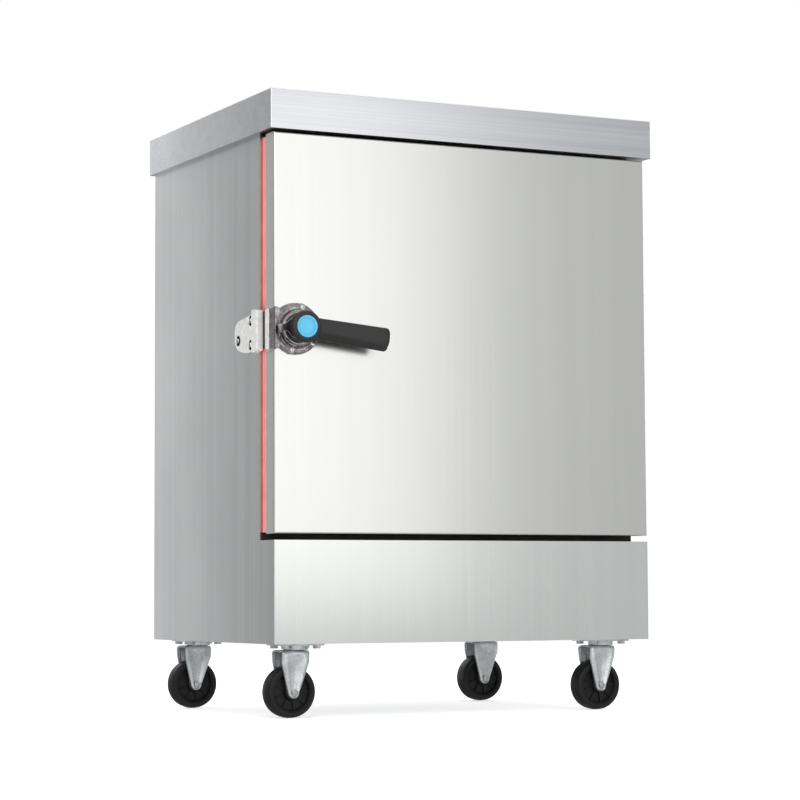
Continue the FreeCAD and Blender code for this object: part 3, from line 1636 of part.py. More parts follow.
bezel = cut(
    "switch_bezel",
    box(
        "switch_case",
        (f"{half_w} - switch_depth", f"{switch_y} - switch_width / 2", f"{control_z} - switch_height / 2"),
        (
            f"{plate_face} + switch_proud",
            f"{switch_y} + switch_width / 2",
            f"{control_z} + switch_height / 2",
        ),
    ),
    box(
        "switch_room",
        (f"{half_w} - switch_well", f"{switch_y} - {rocker_half}", f"{control_z} - {rocker_room}"),
        (f"{plate_face} + 5", f"{switch_y} + {rocker_half}", f"{control_z} + {rocker_room}"),
    ),
)
node(bezel, "switch_housing")
rocker = plate(
    "rocker_body",
    "XZ_Plane",
    f"-{rocker_half} + fit_gap",
    f"{rocker_half} - fit_gap",
    [
        ("-3", "-5"),
        ("6.5", f"-{rocker_room} + 2.5"),
        ("6", "0"),
        ("6.5", f"{rocker_room} - 2.5"),
        ("-3", "5"),
    ],
)
tilt = Rotation(Vector(0, 1, 0), size("rocker_tilt"))
place(rocker, (f"{half_w} - 4", switch_y, control_z), tilt)
rocker.setExpression("Placement.Rotation.Angle", d("rocker_tilt"))
node(rocker, "power_rocker")

# --------------------------------------------------------------------------------------
# Check and write
# --------------------------------------------------------------------------------------
doc.recompute()
failed = [item.Name for item in doc.Objects if {"Invalid", "Error"} & set(item.State)]
if failed:
    raise RuntimeError(f"failed objects: {failed}")
for piece in nodes:
    if piece.Shape.isNull() or not piece.Shape.isValid() or piece.Shape.Volume <= 0:
        raise RuntimeError(f"bad shape: {piece.Label}")
os.makedirs("parts", exist_ok=True)
for piece in nodes:
    piece.Shape.exportStep(f"parts/{piece.Label}.step")
print(f"{len(nodes)} sub-parts written")
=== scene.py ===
import bmesh
import bpy
import json
import math
from mathutils import Matrix, Vector


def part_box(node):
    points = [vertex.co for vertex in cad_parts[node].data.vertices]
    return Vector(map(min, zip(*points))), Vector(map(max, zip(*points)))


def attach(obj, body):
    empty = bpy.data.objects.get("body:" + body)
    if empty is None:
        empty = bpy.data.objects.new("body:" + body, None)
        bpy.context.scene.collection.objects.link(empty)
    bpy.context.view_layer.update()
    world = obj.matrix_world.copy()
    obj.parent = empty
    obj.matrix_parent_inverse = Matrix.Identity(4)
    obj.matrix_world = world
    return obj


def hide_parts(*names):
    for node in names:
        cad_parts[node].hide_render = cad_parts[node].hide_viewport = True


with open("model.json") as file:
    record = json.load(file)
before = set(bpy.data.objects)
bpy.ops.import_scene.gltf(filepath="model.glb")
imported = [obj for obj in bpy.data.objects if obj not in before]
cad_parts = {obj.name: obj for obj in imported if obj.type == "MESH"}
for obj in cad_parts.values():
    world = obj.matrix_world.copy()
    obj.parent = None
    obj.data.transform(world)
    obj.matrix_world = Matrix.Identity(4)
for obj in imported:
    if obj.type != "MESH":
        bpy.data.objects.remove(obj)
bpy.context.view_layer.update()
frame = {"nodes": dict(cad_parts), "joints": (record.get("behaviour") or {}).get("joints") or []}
mm = 0.001
jointAt = {joint["name"]: Vector(joint["pos_m"]) for joint in frame["joints"] if joint.get("pos_m")}
print("frame loaded:", len(frame["nodes"]), "nodes")


# colour and node helpers

def toLinear(hexColour):
    channels = [int(hexColour[i:i + 2], 16) / 255 for i in (1, 3, 5)]
    return tuple(c / 12.92 if c <= 0.04045 else ((c + 0.055) / 1.055) ** 2.4 for c in channels) + (1.0,)


def addNode(tree, kind, inputs=None, stops=(), **settings):
    node = tree.nodes.new(kind)
    for name, value in settings.items():
        setattr(node, name, value)
    for index, (position, hexColour) in enumerate(stops):
        elements = node.color_ramp.elements
        element = elements[index] if index < 2 else elements.new(position)
        element.position = position
        element.color = toLinear(hexColour)
    for name, value in (inputs or {}).items():
        if isinstance(value, bpy.types.NodeSocket):
            tree.links.new(value, node.inputs[name])
        else:
            node.inputs[name].default_value = value
    return node


def startMaterial(name):
    material = bpy.data.materials.new(name)
    material.use_nodes = True
    tree = material.node_tree
    tree.nodes.clear()
    shader = addNode(tree, "ShaderNodeBsdfPrincipled")
    addNode(tree, "ShaderNodeOutputMaterial", {"Surface": shader.outputs["BSDF"]})
    place = addNode(tree, "ShaderNodeTexCoord").outputs["Object"]
    return material, tree, shader, place


def plug(tree, shader, colour, rough, bump):
    tree.links.new(colour.outputs["Color"], shader.inputs["Base Color"])
    tree.links.new(rough.outputs["Result"], shader.inputs["Roughness"])
    tree.links.new(bump.outputs["Normal"], shader.inputs["Normal"])


# materials

brushedSteel = {
    "grainMm": 4.0,        # real grain is 0.1 mm wide: drawn this coarse so that it shows
    "grainLengthMm": 900,
    "anisotropic": 0.4,
}


def stainlessSheet(name, grainAlong, base, streak, roughness):
    # AISI 304 sheet with a belt-brushed finish: long soft streaks and a highlight spread across them
    material, tree, shader, place = startMaterial(name)
    scale = [1000 / brushedSteel["grainMm"]] * 3
    scale["XYZ".index(grainAlong)] = 1000 / brushedSteel["grainLengthMm"]
    layers = []
    for coarseness, detail in ((1, 4.0), (7, 2.0)):
        stretched = addNode(
            tree, "ShaderNodeMapping", {"Vector": place, "Scale": [s / coarseness for s in scale]}
        ).outputs["Vector"]
        layer = addNode(
            tree, "ShaderNodeTexNoise", {"Vector": stretched, "Scale": 1.0, "Detail": detail}
        )
        layers.append(layer.outputs["Fac"])
    streaks = addNode(
        tree, "ShaderNodeMath", {0: layers[0], 1: layers[1]}, operation="MULTIPLY"
    ).outputs[0]
    smudge = addNode(tree, "ShaderNodeTexNoise", {"Vector": place, "Scale": 4.0, "Detail": 3.0})
    worn = addNode(
        tree, "ShaderNodeMath", {0: streaks, 1: smudge.outputs["Fac"]}, operation="ADD"
    ).outputs[0]
    colour = addNode(tree, "ShaderNodeValToRGB", {"Fac": streaks}, [(0.14, streak), (0.36, base)])
    rough = addNode(
        tree, "ShaderNodeMapRange",
        {"Value": worn, "From Min": 0.4, "From Max": 1.1,
         "To Min": roughness[0], "To Max": roughness[1]},
    )
    bump = addNode(tree, "ShaderNodeBump", {"Height": layers[0], "Strength": 0.015, "Distance": 0.0001})
    tangent = addNode(tree, "ShaderNodeTangent", direction_type="RADIAL", axis="Z")
    plug(tree, shader, colour, rough, bump)
    tree.links.new(tangent.outputs["Tangent"], shader.inputs["Tangent"])
    shader.inputs["Metallic"].default_value = 1.0
    shader.inputs["Anisotropic"].default_value = brushedSteel["anisotropic"]
    return material


def mottledMetal(name, dark, light, patchMm, roughness, bumpMm=0.05, metallic=1.0):
    # plated, cast or turned metal: cloudy patches of tone and gloss
    material, tree, shader, place = startMaterial(name)
    patch, fine = (
        addNode(
            tree, "ShaderNodeTexNoise", {"Vector": place, "Scale": scale / patchMm, "Detail": 4.0}
        ).outputs["Fac"] for scale in (1000, 6000)
    )
    cloud = addNode(tree, "ShaderNodeMath", {0: patch, 1: fine}, operation="MULTIPLY").outputs[0]
    colour = addNode(tree, "ShaderNodeValToRGB", {"Fac": cloud}, [(0.12, dark), (0.42, light)])
    rough = addNode(
        tree, "ShaderNodeMapRange",
        {"Value": cloud, "From Min": 0.1, "From Max": 0.45,
         "To Min": roughness[1], "To Max": roughness[0]},
    )
    bump = addNode(tree, "ShaderNodeBump", {"Height": cloud, "Strength": 0.4, "Distance": bumpMm * mm})
    plug(tree, shader, colour, rough, bump)
    shader.inputs["Metallic"].default_value = metallic
    return material


def mouldedPlastic(
    name, dark, light, grainMm, roughness, ior=1.5, bumpMm=0.05, coat=0.0, specular=0.5
):
    # injection moulded or moulded rubber: fine spark-eroded grain, slight cloud in the colour
    material, tree, shader, place = startMaterial(name)
    grain, cloud = (
        addNode(
            tree, "ShaderNodeTexNoise", {"Vector": place, "Scale": scale / grainMm, "Detail": 3.0}
        ).outputs["Fac"] for scale in (1000, 60)
    )
    colour = addNode(tree, "ShaderNodeValToRGB", {"Fac": cloud}, [(0.3, dark), (0.7, light)])
    rough = addNode(
        tree, "ShaderNodeMapRange",
        {"Value": cloud, "From Min": 0.3, "From Max": 0.7,
         "To Min": roughness[0], "To Max": roughness[1]},
    )
    bump = addNode(tree, "ShaderNodeBump", {"Height": grain, "Strength": 0.25, "Distance": bumpMm * mm})
    plug(tree, shader, colour, rough, bump)
    shader.inputs["IOR"].default_value = ior
    shader.inputs["Coat Weight"].default_value = coat
    shader.inputs["Specular IOR Level"].default_value = specular
    return material


doorSheet = stainlessSheet("fine brushed stainless door", "Z", "#DDDDDA", "#DBDBD8", (0.25, 0.27))
sheetUpright = stainlessSheet("brushed stainless, upright grain", "Z", "#D3D4D5", "#C6C8C9", (0.28, 0.36))
sheetLevel = stainlessSheet("brushed stainless, level grain", "X", "#D9D9DC", "#CCCCD0", (0.26, 0.34))
sheetInside = stainlessSheet("brushed stainless liner", "X", "#C4C6C5", "#B9BCBB", (0.3, 0.4))
# the casting's tones are darkened to paint in the dark surroundings that it reflects: painted reflection
zincPaintedDark = mottledMetal("polished zinc casting with painted dark reflection", "#6C6669", "#B7B1B2", 12, (0.14, 0.34), 0.2)
tumbledZinc = mottledMetal(
    "tumbled zinc casting", "#CECDCC", "#F6F5F3", 9, (0.42, 0.6), 0.15, metallic=0.2
)
pressedPanel = stainlessSheet("brushed stainless base panel", "Z", "#E2E4E1", "#DFE1DE", (0.25, 0.28))
platedSteel = mottledMetal(
    "zinc plated pressed steel", "#B4B8BA", "#E2E5E5", 18, (0.26, 0.44), 0.05, metallic=0.82
)
nickelScrew = mottledMetal("nickel plated screw", "#B9B7B4", "#DEDCD8", 6, (0.15, 0.28))
turnedBrass = mottledMetal("turned brass", "#9A7A3C", "#C8A863", 12, (0.25, 0.42))
heatedSheath = mottledMetal("heat tinted alloy sheath", "#4A423D", "#8A7B6C", 25, (0.35, 0.55))
gasketRubber = mouldedPlastic(
    "moulded silicone gasket", "#EE8E88", "#F89A95", 1.5, (0.42, 0.55), 1.43
)
leverNylon = mouldedPlastic(
    "glass filled nylon", "#151313", "#1B1919", 0.9, (0.36, 0.48), 1.53, 0.08, 0.0, 0.45
)
discPlastic = mouldedPlastic(
    "gloss styrene disc", "#46A6CB", "#52B0D3", 2.5, (0.16, 0.24), 1.55, 0.02, 0.3
)
wheelRubber = mouldedPlastic(
    "moulded wheel rubber", "#08080A", "#0E0E10", 1.2, (0.45, 0.62), 1.52, 0.1, 0.0, 0.34
)
foamFill = mouldedPlastic("polyurethane foam", "#D9C88F", "#E6D8A6", 2.0, (0.8, 0.95), 1.45, 0.6)
dippedVinyl = mouldedPlastic(
    "dip coated red vinyl", "#A3161A", "#B81D20", 2.0, (0.3, 0.4), 1.53, 0.05, 0.2
)
greyAbs = mouldedPlastic("grey textured abs", "#8C8F91", "#9A9D9F", 0.8, (0.45, 0.6), 1.52, 0.08)
inkWhite = mouldedPlastic("screen printed white ink", "#E9E9E4", "#F4F4F0", 0.5, (0.5, 0.6))
anodisedPlate = mottledMetal(
    "black anodised aluminium", "#2E3032", "#3B3D40", 9, (0.32, 0.45), 0.02
)
lampRed = mouldedPlastic("red pilot lens", "#B4141A", "#D4252B", 3.0, (0.1, 0.15), 1.5, 0.02, 0.5)


def waterMaterial(name):
    # clear water: index 1.33 and a faint ripple, so that the tank's floor shows through
    material, tree, shader, place = startMaterial(name)
    ripple = addNode(
        tree, "ShaderNodeTexNoise", {"Vector": place, "Scale": 30.0, "Detail": 2.0}
    ).outputs["Fac"]
    bump = addNode(tree, "ShaderNodeBump", {"Height": ripple, "Strength": 0.2, "Distance": 0.0008})
    tint = addNode(tree, "ShaderNodeValToRGB", {"Fac": ripple}, [(0.3, "#E6F1F2"), (0.7, "#F4FAFA")])
    tree.links.new(bump.outputs["Normal"], shader.inputs["Normal"])
    tree.links.new(tint.outputs["Color"], shader.inputs["Base Color"])
    shader.inputs["Transmission Weight"].default_value = 1.0
    shader.inputs["IOR"].default_value = 1.33
    shader.inputs["Roughness"].default_value = 0.03
    return material


stillWater = waterMaterial("still water")
print("materials made")


# mesh helpers

def finishPiece(
    name, mesh, material, body, replaced=(), bevelMm=0.0, smoothAngle=35
):
    bmesh.ops.remove_doubles(mesh, verts=mesh.verts, dist=1e-6)
    bmesh.ops.recalc_face_normals(mesh, faces=mesh.faces)
    data = bpy.data.meshes.new(name)
    mesh.to_mesh(data)
    mesh.free()
    data.materials.append(material)
    data.shade_smooth()
    data.set_sharp_from_angle(angle=math.radians(smoothAngle))
    piece = bpy.data.objects.new(name, data)
    bpy.context.scene.collection.objects.link(piece)
    if bevelMm:
        rounding = piece.modifiers.new("rounded edges", "BEVEL")
        rounding.width = bevelMm * mm
        rounding.segments = 3
        rounding.limit_method = "ANGLE"
        rounding.angle_limit = math.radians(30)
        rounding.harden_normals = True
    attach(piece, body)
    if replaced:
        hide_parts(*replaced)
    return piece


def axisTurn(axis):
    # turns local Z onto the axis
    return Vector((0, 0, 1)).rotation_difference(Vector(axis)).to_matrix().to_4x4()


def lathe(mesh, profile, centre, axis, steps=64):
    # profile: (radius, height) pairs in metres; a radius of 0 closes the form
    turn = Matrix.Translation(centre) @ axisTurn(axis)
    rings = []
    for radius, height in profile:
        if radius < 1e-7:
            rings.append([mesh.verts.new(turn @ Vector((0, 0, height)))])
            continue
        angles = [2 * math.pi * i / steps for i in range(steps)]
        points = [Vector((radius * math.cos(a), radius * math.sin(a), height)) for a in angles]
        rings.append([mesh.verts.new(turn @ point) for point in points])
    for low, high in zip(rings, rings[1:]):
        for i in range(steps):
            j = (i + 1) % steps
            corners = [low[i % len(low)], low[j % len(low)], high[j % len(high)], high[i % len(high)]]
            unique = list(dict.fromkeys(corners))
            if len(unique) > 2:
                mesh.faces.new(unique)


def softened(points, radius, steps=5):
    # rounds each corner of a closed outline by an arc
    result = []
    count = len(points)
    for i in range(count):
        corner = Vector(points[i])
        before = Vector(points[i - 1]) - corner
        after = Vector(points[(i + 1) % count]) - corner
        reach = min(radius, before.length * 0.45, after.length * 0.45)
        start = corner + before.normalized() * reach
        end = corner + after.normalized() * reach
        for k in range(steps + 1):
            t = k / steps
            result.append((1 - t) ** 2 * start + 2 * t * (1 - t) * corner + t ** 2 * end)
    return result


def slab(mesh, outline, toWorld, low, high):
    # a closed outline drawn in two directions and given thickness along the third
    lowRing = [mesh.verts.new(toWorld(u, v, low)) for u, v in outline]
    highRing = [mesh.verts.new(toWorld(u, v, high)) for u, v in outline]
    count = len(outline)
    for i in range(count):
        j = (i + 1) % count
        mesh.faces.new((lowRing[i], lowRing[j], highRing[j], highRing[i]))
    return mesh.faces.new(lowRing), mesh.faces.new(list(reversed(highRing)))


def joinRings(mesh, rings):
    # quads between closed rings of equal count
    for a, b in zip(rings, rings[1:]):
        for i in range(len(a)):
            j = (i + 1) % len(a)
            mesh.faces.new((a[i], a[j], b[j], b[i]))


def fillGrid(mesh, grid):
    for a, b in zip(grid, grid[1:]):
        for i in range(len(a) - 1):
            mesh.faces.new((a[i], a[i + 1], b[i + 1], b[i]))


def rectangle(u0, v0, u1, v1):
    return [(u0, v0), (u1, v0), (u1, v1), (u0, v1)]


def inMm(pairs):
    return [(a * mm, b * mm) for a, b in pairs]


def facingX(u, v, x):
    return Vector((x, u, v))


def thicken(piece, thickness):
    sheet = piece.modifiers.new("sheet thickness", "SOLIDIFY")
    sheet.thickness = thickness
    sheet.offset = 0


def block(mesh, low, high):
    spans = [(low[i], high[i]) for i in range(3)]
    verts = [mesh.verts.new((x, y, z)) for x in spans[0] for y in spans[1] for z in spans[2]]
    for face in ((0, 1, 3, 2), (4, 6, 7, 5), (0, 4, 5, 1), (2, 3, 7, 6), (0, 2, 6, 4), (1, 5, 7, 3)):
        mesh.faces.new([verts[i] for i in face])


def dressNode(names, material):
    for name in names:
        item = frame["nodes"][name]
        item.data.materials.clear()
        item.data.materials.append(material)


# camera: eye level below the middle of the cabinet, seen from its left

camera = {
    "eyeMm": (-2008.1, -4036.5, 208.0),
    "yawDegrees": 26.5435, "pitchDegrees": 4.197, "rollDegrees": -0.249,
    "lensMm": 115.71, "sensorMm": 36,
}


def addCamera():
    data = bpy.data.cameras.new("camera")
    data.lens = camera["lensMm"]
    data.sensor_width = camera["sensorMm"]
    data.clip_end = 60
    eye = bpy.data.objects.new("camera", data)
    bpy.context.scene.collection.objects.link(eye)
    yaw, pitch, roll = (math.radians(camera[k]) for k in ("yawDegrees", "pitchDegrees", "rollDegrees"))
    level = math.cos(pitch)
    ahead = Vector((math.sin(yaw) * level, math.cos(yaw) * level, math.sin(pitch)))
    right = Vector((math.cos(yaw), -math.sin(yaw), 0))
    up = right.cross(ahead)
    rolledRight = right * math.cos(roll) + up * math.sin(roll)
    rolledUp = up * math.cos(roll) - right * math.sin(roll)
    turn = Matrix((rolledRight, rolledUp, -ahead)).transposed()
    eye.matrix_world = Matrix.Translation(Vector(camera["eyeMm"]) * mm) @ turn.to_4x4()
    bpy.context.scene.camera = eye


addCamera()

# light

studio = {
    "frontShades": [(0.0, "#E9E9E8"), (0.45, "#D2D3D3"), (1.0, "#C4C6C7")],   # from left to right
    "backShades": [(0.0, "#808284"), (0.45, "#858785"), (1.0, "#C4C6C7")],
    "floorGlow": 0.55,
    # name: centre, point it faces, width and height, power
    "softboxes": {
        "key": ((-2.2, -2.6, 2.4), (0, 0, 0.5), (2.6, 2.6), 30),
        "door card": ((-0.01, -1.65, 0.84), (-0.01, 0, 0.84), (1.38, 1.38), 5.1),
        "side card": ((-0.62, 1.6, 0.8), (-0.62, 0, 0.8), (0.86, 1.9), 5.0),
        "top": ((0.3, -0.2, 3.2), (0, 0, 0), (3, 3), 30),
        "right fill": ((3.2, 0.5, 1.4), (0, 0, 0.5), (2, 2), 18),
        "back fill": ((0.5, 3.2, 1.8), (0, 0, 0.5), (2.4, 2), 25),
    },
}


def softbox(name, centre, target, size, power):
    data = bpy.data.lights.new(name, "AREA")
    data.shape = "RECTANGLE"
    data.size, data.size_y = size
    data.energy = power
    lamp = bpy.data.objects.new(name, data)
    aim = (Vector(target) - Vector(centre)).to_track_quat("-Z", "Y")
    lamp.matrix_world = Matrix.Translation(centre) @ aim.to_matrix().to_4x4()
    lamp.visible_camera = False
    bpy.context.scene.collection.objects.link(lamp)


def lightStudio():
    world = bpy.data.worlds.new("studio")
    bpy.context.scene.world = world
    world.use_nodes = True
    tree = world.node_tree
    tree.nodes.clear()
    place = addNode(tree, "ShaderNodeTexCoord").outputs["Generated"]
    axes = addNode(tree, "ShaderNodeSeparateXYZ", {"Vector": place}).outputs
    toRight, toBack = (
        addNode(
            tree, "ShaderNodeMapRange", {"Value": axes[axis], "From Min": low, "From Max": high}
        ).outputs["Result"] for axis, low, high in (("X", -1.0, 1.0), ("Y", -0.2, 0.4))
    )
    front, back = (
        addNode(tree, "ShaderNodeValToRGB", {"Fac": toRight}, studio[shades]).outputs["Color"]
        for shades in ("frontShades", "backShades")
    )
    shade = addNode(tree, "ShaderNodeMix", data_type="RGBA")
    for socket, value in ((0, toBack), (6, front), (7, back)):
        tree.links.new(value, shade.inputs[socket])
    lit = addNode(tree, "ShaderNodeBackground", {"Color": shade.outputs[2], "Strength": 1.0})
    seen = addNode(tree, "ShaderNodeBackground", {"Color": (1, 1, 1, 1), "Strength": 1.0})
    path = addNode(tree, "ShaderNodeLightPath")
    both = addNode(tree, "ShaderNodeMixShader", {"Fac": path.outputs["Is Camera Ray"]})
    tree.links.new(lit.outputs[0], both.inputs[1])
    tree.links.new(seen.outputs[0], both.inputs[2])
    addNode(tree, "ShaderNodeOutputWorld", {"Surface": both.outputs[0]})
    for name, (centre, target, size, power) in studio["softboxes"].items():
        softbox(name, centre, target, size, power)
    scene = bpy.context.scene
    scene.view_settings.view_transform = "Standard"
    scene.view_settings.look = "None"


def layFloor():
    mesh = bmesh.new()
    half = 9.0
    corners = [(-half, -half, 0), (half, -half, 0), (half, half, 0), (-half, half, 0)]
    mesh.faces.new([mesh.verts.new(c) for c in corners])
    data = bpy.data.meshes.new("floor")
    mesh.to_mesh(data)
    mesh.free()
    material, tree, shader, place = startMaterial("matt white floor")
    grain = addNode(tree, "ShaderNodeTexNoise", {"Vector": place, "Scale": 40.0}).outputs["Fac"]
    colour = addNode(
        tree, "ShaderNodeValToRGB", {"Fac": grain}, [(0.3, "#F7F7F6"), (0.7, "#FBFBFA")]
    )
    tree.links.new(colour.outputs["Color"], shader.inputs["Base Color"])
    shader.inputs["Roughness"].default_value = 0.9
    shader.inputs["Emission Color"].default_value = (1, 1, 1, 1)
    shader.inputs["Emission Strength"].default_value = studio["floorGlow"]
    shader.inputs["Specular IOR Level"].default_value = 0.1
    data.materials.append(material)
    floor = bpy.data.objects.new("floor", data)
    bpy.context.scene.collection.objects.link(floor)
    floor.visible_glossy = False


lightStudio()
layFloor()
print("camera, light and floor placed")

# sheet metal and plain parts keep their shapes

dressNode(["left_side_panel", "right_side_panel", "back_panel"], sheetUpright)
dressNode(["base_front_panel"], pressedPanel)
dressNode(["door_skin"], doorSheet)
dressNode(["top_cap"], sheetLevel)
dressNode(["base_deck", "base_floor", "stiffener_channels", "face_frame", "steam_baffle"], sheetLevel)
dressNode(["liner_left", "liner_right", "liner_back", "liner_top"], sheetInside)
dressNode(["liner_floor", "door_liner", "water_tank", "steam_vent", "tray_rack_left", "tray_rack_right"], sheetInside)
dressNode(["cabinet_insulation", "door_insulation"], foamFill)
dressNode(["hinge_fixed_leaves", "hinge_door_leaves", "hinge_pins", "caster_plates"], platedSteel)
dressNode(["caster_bolts"], nickelScrew)
dressNode(["water_inlet_pipe", "drain_pipe", "drain_valve"], turnedBrass)
dressNode(["heating_element"], heatedSheath)
dressNode(["drain_handle"], dippedVinyl)
dressNode(["terminal_box"], greyAbs)
dressNode(["control_plate"], anodisedPlate)
dressNode(["thermostat_unit", "switch_housing", "power_rocker"], leverNylon)
print("nodes dressed")

# casters: pressed forks with rolled rims, ribbed wheels

caster = {
    "shoulderHalfMm": 24, "leanShare": 0.3, "eyeRadiusMm": 9.5, "turnRadiusMm": 5,
    "waistDropMm": 18, "rimRaiseMm": 1.6, "rimTuckMm": 3.4, "troughMm": 2.2, "sheetMm": 2.2,
    "treadHalfMm": 16, "treadCrownMm": 0.9, "treadShoulderMm": 5.5,
    "webHalfMm": 8.5, "rimInnerMm": 31, "ribs": 9, "ribThickMm": 2.4,
}


def casterSpot(corner):
    # swivel axis and wheel centre
    swivel = jointAt[f"swivel_{corner}"]
    return Vector((swivel.x, swivel.y, 0)), jointAt[f"roll_{corner}"].copy()


def forkPiece(corner):
    swivel, hub = casterSpot(corner)
    low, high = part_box(f"caster_{corner}_fork")
    top = high.z - caster["sheetMm"] * mm / 2
    halfSpan = (high.y - low.y - caster["sheetMm"] * mm) / 2
    turnRadius = caster["turnRadiusMm"] * mm
    eye = caster["eyeRadiusMm"] * mm
    shoulder = caster["shoulderHalfMm"] * mm
    waist = top - caster["waistDropMm"] * mm
    crownX = hub.x + (swivel.x - hub.x) * caster["leanShare"]
    # one leg, from its eye to the middle of the crown: out from the axis, height, centre and half width
    rows = []
    for k in range(7):
        rise = -eye * math.cos(math.pi / 2 * k / 6)
        half = math.sqrt(max(eye ** 2 - rise ** 2, 0.3 * mm ** 2))
        rows.append((halfSpan, hub.z + rise, hub.x, half))
    for k in range(1, 13):
        t = k / 12
        ease = t ** 0.92
        rows.append((
            halfSpan, hub.z + t * (waist - hub.z),
            hub.x + (crownX - hub.x) * ease, eye + (shoulder - eye) * ease,
        ))
    for k in range(1, 4):
        rows.append((halfSpan, waist + (top - turnRadius - waist) * k / 3, crownX, shoulder))
    for k in range(1, 7):
        angle = math.pi / 2 * k / 6
        rows.append((
            halfSpan - turnRadius * (1 - math.cos(angle)), top - turnRadius * (1 - math.sin(angle)),
            crownX, shoulder - 1.5 * mm * math.sin(angle),
        ))
    for k in range(1, 9):
        rows.append(((halfSpan - turnRadius) * (1 - k / 8), top, crownX, shoulder - 1.5 * mm))
    columns = 28
    mesh = bmesh.new()
    for side in (-1, 1):
        grid = []
        for out, z, middle, half in rows:
            onLeg = 1 if z < waist else max(0, 1 - (z - waist) / (top - waist))
            line = []
            for i in range(columns + 1):
                u = 2 * i / columns - 1
                edge = max(0, (abs(u) - 0.86) / 0.14)
                hump = max(0, 1 - abs((abs(u) - 0.72) / 0.2)) ** 0.8
                trough = max(0, 1 - abs(u) / 0.5) ** 0.6
                tuck = caster["rimTuckMm"] * edge ** 1.7 * (0.5 + 0.5 * onLeg)
                press = (caster["rimRaiseMm"] * hump - caster["troughMm"] * trough) * onLeg
                shift = (press - tuck) * mm
                flat = z > top - 0.2 * mm
                y = out if flat else out + shift * (1 if out > halfSpan - 1e-6 else 0.4)
                drop = tuck * mm if flat else 0
                line.append(mesh.verts.new((middle + u * half, swivel.y + side * y, z - drop)))
            grid.append(line)
        for lower, upper in zip(grid, grid[1:]):
            for i in range(columns):
                middle = (lower[i].co + upper[i + 1].co) / 2
                if (middle.xy - swivel.xy).length < 8 * mm and middle.z > waist:
                    continue
                corners = [lower[i], lower[i + 1], upper[i + 1], upper[i]]
                mesh.faces.new(corners if side < 0 else corners[::-1])
    loose = [v for v in mesh.verts if not v.link_faces]
    bmesh.ops.delete(mesh, geom=loose, context="VERTS")
    piece = finishPiece(
        f"caster_fork_{corner}", mesh, platedSteel, f"fork_{corner}",
        [f"caster_{corner}_fork"],
    )
    thicken(piece, caster["sheetMm"] * mm)
    collar = bmesh.new()
    lathe(collar, inMm([
        (6.2, -0.6), (6.2, 3.4), (12, 3.4), (13.5, 2.6), (14, 0), (12.6, -0.6), (6.2, -0.6),
    ]), (swivel.x, swivel.y, top - 3.2 * mm), (0, 0, 1), 40)
    finishPiece(f"caster_collar_{corner}", collar, platedSteel, f"fork_{corner}")
    for side in (-1, 1):
        washer = bmesh.new()
        lathe(washer, inMm([
            (3.9, 0), (7.6, 0), (7.6, 0.9), (7.2, 1.2), (3.9, 1.2), (3.9, 0),
        ]), (hub.x, swivel.y + side * (halfSpan - 1.1 * mm), hub.z), (0, side, 0), 32)
        place = "outer" if side < 0 else "inner"
        finishPiece(
            f"caster_washer_{corner}_{place}", washer, platedSteel, f"fork_{corner}"
        )
    axleLow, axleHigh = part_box(f"caster_{corner}_axle")
    length = axleHigh.y - axleLow.y
    # riveted head, the same at both ends
    head = inMm([(0, 1.8), (2.2, 1.8), (2.6, 0.2), (4.0, 0.2), (4.7, 0.9), (4.8, 2.4), (3.9, 2.5)])
    axle = bmesh.new()
    lathe(
        axle, head + [(r, length - out) for r, out in reversed(head)],
        (hub.x, axleLow.y, hub.z), (0, 1, 0), 40,
    )
    finishPiece(
        f"caster_axle_{corner}", axle, nickelScrew, f"fork_{corner}",
        [f"caster_{corner}_axle"], smoothAngle=40,
    )


def wheelPiece(corner):
    swivel, hub = casterSpot(corner)
    low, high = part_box(f"caster_{corner}_wheel")
    radius = (high.z - low.z) / 2
    bossHalf = (high.y - low.y) / 2
    treadHalf = caster["treadHalfMm"] * mm
    web = caster["webHalfMm"] * mm
    rimInner = caster["rimInnerMm"] * mm
    shoulderRound = caster["treadShoulderMm"] * mm
    crown = caster["treadCrownMm"] * mm
    side = [
        (4.06 * mm, bossHalf), (11.6 * mm, bossHalf), (12.6 * mm, bossHalf - 0.8 * mm),
        (13.2 * mm, web + 2 * mm), (14.6 * mm, web),
        (rimInner - 2 * mm, web - 0.6 * mm), (rimInner - 0.6 * mm, web + 1.0 * mm),
        (rimInner, treadHalf - 2.2 * mm), (rimInner + 1 * mm, treadHalf - 1.2 * mm),
        (rimInner + 2.2 * mm, treadHalf - 1.6 * mm), (rimInner + 3 * mm, treadHalf - 0.5 * mm),
        (radius - shoulderRound, treadHalf),
    ]
    for k in range(1, 8):
        angle = math.pi / 2 * k / 7
        side.append((
            radius - crown - (shoulderRound - crown) * (1 - math.sin(angle)),
            treadHalf - shoulderRound * (1 - math.cos(angle)),
        ))
    side.append((radius - 0.25 * mm, 4 * mm))
    profile = side + [(radius, 0)] + [(r, -y) for r, y in reversed(side)]
    mesh = bmesh.new()
    lathe(mesh, profile + [profile[0]], hub, (0, 1, 0), 96)
    for k in range(caster["ribs"]):
        turn = Matrix.Rotation(2 * math.pi * k / caster["ribs"], 4, "Y")
        half = caster["ribThickMm"] * mm / 2
        rib = bmesh.new()
        block(rib, (12 * mm, -web - 2.6 * mm, -half), (rimInner + 0.5 * mm, web + 2.6 * mm, half))
        bmesh.ops.transform(rib, matrix=Matrix.Translation(hub) @ turn, verts=rib.verts)
        joined = bpy.data.meshes.new("rib")
        rib.to_mesh(joined)
        rib.free()
        mesh.from_mesh(joined)
        bpy.data.meshes.remove(joined)
    finishPiece(
        f"caster_wheel_{corner}", mesh, wheelRubber, f"wheel_{corner}",
        [f"caster_{corner}_wheel"], smoothAngle=28,
    )


for corner in ("front_left", "front_right", "rear_left", "rear_right"):
    forkPiece(corner)
    wheelPiece(corner)
print("casters made")

